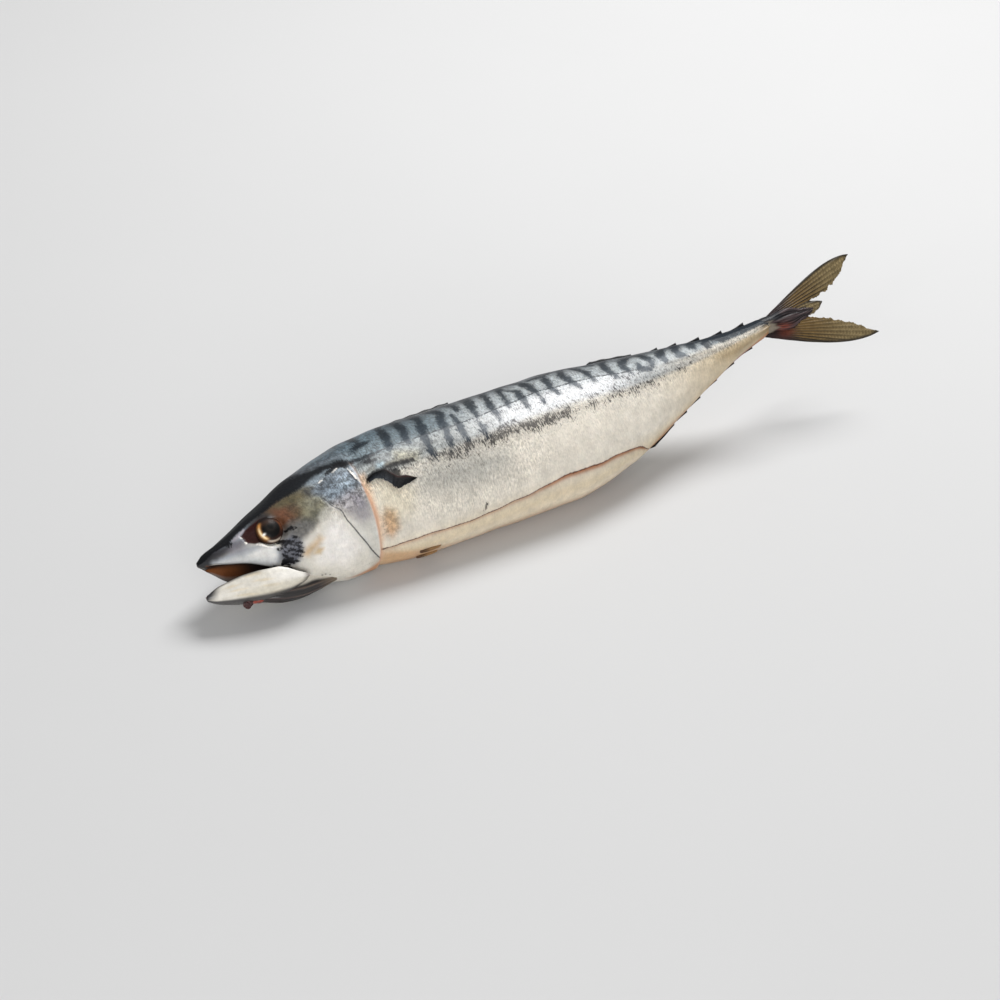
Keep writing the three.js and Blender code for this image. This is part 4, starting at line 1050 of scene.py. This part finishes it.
def lobe_shape(front_corners, rear_corners, tear):
    def shape(row, column):
        s = row / (LOBE_ROWS - 1)
        part, side = two_faces(column, LOBE_ACROSS)
        front, rear = bezier(front_corners, s), bezier(rear_corners, s)
        fan = np.arctan2(rear[:, 1], rear[:, 0] - RAY_ORIGIN)
        teeth = .5 + .5 * np.sin(fan * RAYS_PER_RADIAN * 5.7 + 2 * np.sin(s * 19))
        tufted = .5 + .5 * np.sin(s * 310 + 4 * np.sin(s * 47))
        notch = tear * (teeth * .45 + .3 * tufted + .4 * np.maximum(0, np.sin(s * 37 + 2 * np.sin(s * 11))))
        notch = notch * ease(s, .1, .35)
        width = np.maximum(np.linalg.norm(rear - front, axis=1), .1)
        share = part * (1 - np.minimum(.5, notch / width))
        flat = front + (rear - front) * share[:, None]
        fan = np.arctan2(flat[:, 1], flat[:, 0] - RAY_ORIGIN)
        thick = (1.1 - .8 * s ** .5) * np.minimum(1, np.minimum(part * 5 + .35, (1 - part) * 4 + .1))
        ridge = .13 * np.cos(fan * RAYS_PER_RADIAN * 2 * math.pi) * np.minimum(1, (1 - part) * 8)
        points = tail_place(flat[:, 0], flat[:, 1], side * np.maximum(thick + ridge, .06))
        colour = blend("#6f5832", "#8b7b58", .85 * ease(s, .25, .75))
        ray = .5 + .5 * np.cos(fan * RAYS_PER_RADIAN * 2 * math.pi)
        strength = .5 + .5 * np.sin(np.round(fan * RAYS_PER_RADIAN) * 12.99)
        dark_ray = (.4 + .6 * strength) * ease(ray, .4, .9) * (1 - .7 * ease(s, .35, .8))
        colour = blend(colour, "#1d150d", dark_ray)
        dapple = np.sin(flat[:, 0] * 5.3 + 3 * np.sin(fan * 130)) * np.sin(fan * 290 + flat[:, 0] * 1.7)
        colour = blend(colour, "#2f2617", .7 * ease(dapple, -.1, .6) * ease(s, .2, .55))
        colour = blend(colour, "#2a2620", .9 * (1 - ease(part * width, .4, 2.2)))
        colour = blend(colour, "#2a2620", .8 * ease(s, .9, 1))
        colour = blend(colour, "#2b2020", 1 - ease(flat[:, 0], 5, 17))
        root_red = np.exp(-((flat[:, 0] - 7) / 4.5) ** 2) * np.exp(-((flat[:, 1] + 6.5) / 2.4) ** 2)
        colour = blend(colour, "#74341f", .6 * root_red)
        return points, {"tone": colour}, np.stack([flat[:, 0], flat[:, 1]], -1)

    return shape


LOBES = (
    ("tail_lobe_upper", [(-4, 2.6), (17, 11.4), (40, 24.3), (54.5, 21)],
     [(6, .5), (22, 4), (38.5, 1.2), (54, 20.2)], 1.6),
    ("tail_lobe_lower", [(-5, -5.8), (16, -14.5), (40, -24.5), (57.5, -20.8)],
     [(6, .5), (24, -.5), (41, -8.6), (57.2, -20)], 1.3),
    ("tail_torn_scrap", [(4, 3), (13, 6.6), (24, 5.6), (32, 2.6)],
     [(4, -3), (14, -2.5), (24, -3.4), (28, -1.4)], 2),
)
for name, front_corners, rear_corners, tear in LOBES:
    lobe = laid_grid(name, LOBE_ROWS, 2 * LOBE_ACROSS + 1, lobe_shape(front_corners, rear_corners, tear))
    finish_piece(lobe, fin_web)

flesh_depth = profile((-10, 2.8), (-4, 4.2), (1, 4.5), (5, 5.2), (11, 5.9), (17, 4.5), (22, 2.8), (26, .8))
flesh_thickness = profile((-10, 2.6), (-4, 3.7), (1, 3.4), (5, 2.7), (11, 1.8), (19, 1.1), (26, .4))
flesh_middle = profile((-10, -.3), (4, -.6), (11, -.7), (17, -.4), (26, .4))
FLESH_ROWS, FLESH_COLUMNS, FLESH_START, FLESH_END = 130, 110, -10, 26


def flesh_shape(row, column):
    along = FLESH_START + (FLESH_END - FLESH_START) * row / (FLESH_ROWS - 1)
    turn = 2 * math.pi * column / (FLESH_COLUMNS - 1)
    back, left = flesh_depth(along) * np.cos(turn), flesh_thickness(along) * np.sin(turn)
    spread = back / flesh_depth(along)
    fray = np.abs(np.sin(along * 1.7 + 2 * np.sin(along * .9))) + .5 * np.abs(np.sin(along * 4.3))
    back = back * (1 - .16 * fray * ease(along, 11, 18))
    fold = np.sin(spread * 9 + .8 * np.sin(along / 3.1) + along / 9) + .6 * np.sin(spread * 21 - along / 4)
    left = left * (1 + .13 * fold * ease(along, 0, 6))
    ends = 1 - (row == 0) * .5 - (row == FLESH_ROWS - 1) * .8
    points = tail_place(along, flesh_middle(along) + back * ends, left * ends)
    strands = .5 + .5 * np.sin(spread * 31 + along / 2.7 + 2 * np.sin(along / 5))
    # Painted shade and highlights: the colour follows the folds, near black in their hollows and
    # grey-purple on their ridges.
    colour = blend("#120f11", "#4a3d3e", .9 * ease(fold, -.1, 1.2))
    colour = blend(colour, "#6d5f60", .35 * ease(strands, .7, 1) * ease(along, 2, 9))
    red = np.exp(-((spread + .58) / .34) ** 2) * np.exp(-((along - 5) / 5) ** 2)
    colour = blend(colour, "#85402f", .9 * red * (.25 + .75 * strands))
    skin_end = along + 1.8 * np.sin(spread * 5 + 1) + .9 * np.sin(spread * 13)
    colour = blend(colour, "#837a6c", .9 * (1 - ease(skin_end, -2, 2)))
    colour = blend(colour, "#17191e", ease(spread, .2, .45) * (1 - ease(along, 3, 8)))
    return points, {"tone": colour}, np.stack([along, back], -1)


# Dark muscle and torn skin over the tail's bones: wet, in strands, with blood below.
tail_flesh = painted_material("wet_tail_flesh", .5, .08)
tail_flesh.shader.inputs["Specular IOR Level"].default_value = .2
finish_piece(laid_grid("tail_root_flesh", FLESH_ROWS, FLESH_COLUMNS, flesh_shape), tail_flesh)


# ----------------------------------------------------------------------------------------------------
# The studio: a plain pale floor, a large soft light high behind, a wide fill in front, and the camera.
FLOOR_HALF_WIDTH = 3
floor_net = bmesh.new()
bmesh.ops.create_grid(floor_net, x_segments=2, y_segments=2, size=FLOOR_HALF_WIDTH)
floor = made("floor", floor_net)
bpy.context.scene.collection.objects.link(floor)
# Matt white painted board: even, without gloss.
painted_board = Nodes("matt_white_board")
dust = add(painted_board, "TexNoise", [("Scale", 30), ("Detail", 3)])
level = add(painted_board, "MapRange", [("Value", dust.outputs[0]), (3, .62), (4, .64)])
painted_board.tree.links.new(level.outputs[0], painted_board.shader.inputs["Base Color"])
painted_board.shader.inputs["Roughness"].default_value = .9
floor.data.materials.append(painted_board.material)

world = bpy.data.worlds.new("studio")
world.use_nodes = True
world.node_tree.nodes["Background"].inputs["Color"].default_value = (1, 1, 1, 1)
world.node_tree.nodes["Background"].inputs["Strength"].default_value = .3
bpy.context.scene.world = world
for name, direction, distance, size, power in (
        ("key", (.44, .31, .84), 1.5, .75, 20), ("fill", (-.45, -.8, .38), 1.8, 1.4, 16.5),
        ("glint", (-.75, -.43, .5), 1.6, .22, 1.5)):
    data = bpy.data.lights.new(name, "AREA")
    data.shape, data.size, data.energy = "DISK", size, power
    lamp = bpy.data.objects.new(name, data)
    spot = Vector(direction).normalized()
    lamp.location = spot * distance
    lamp.rotation_euler = spot.to_track_quat("Z", "Y").to_euler()
    bpy.context.scene.collection.objects.link(lamp)

bpy.context.scene.view_settings.view_transform = "Standard"
CAMERA_PLACE = (-284.5, -669.3, 590)
CAMERA_FORWARD, CAMERA_UP = Vector((.4433, .6739, -.5911)).normalized(), Vector((.2925, .5145, .8060))
camera_data = bpy.data.cameras.new("camera")
camera_data.sensor_width, camera_data.lens, camera_data.clip_start = 36, 75.68, .01
camera = bpy.data.objects.new("camera", camera_data)
right = CAMERA_FORWARD.cross(CAMERA_UP).normalized()
turn = Matrix((right, right.cross(CAMERA_FORWARD), -CAMERA_FORWARD)).transposed()
camera.matrix_world = Matrix.Translation(Vector(in_frame(CAMERA_PLACE))) @ turn.to_4x4()
bpy.context.scene.collection.objects.link(camera)
bpy.context.scene.camera = camera
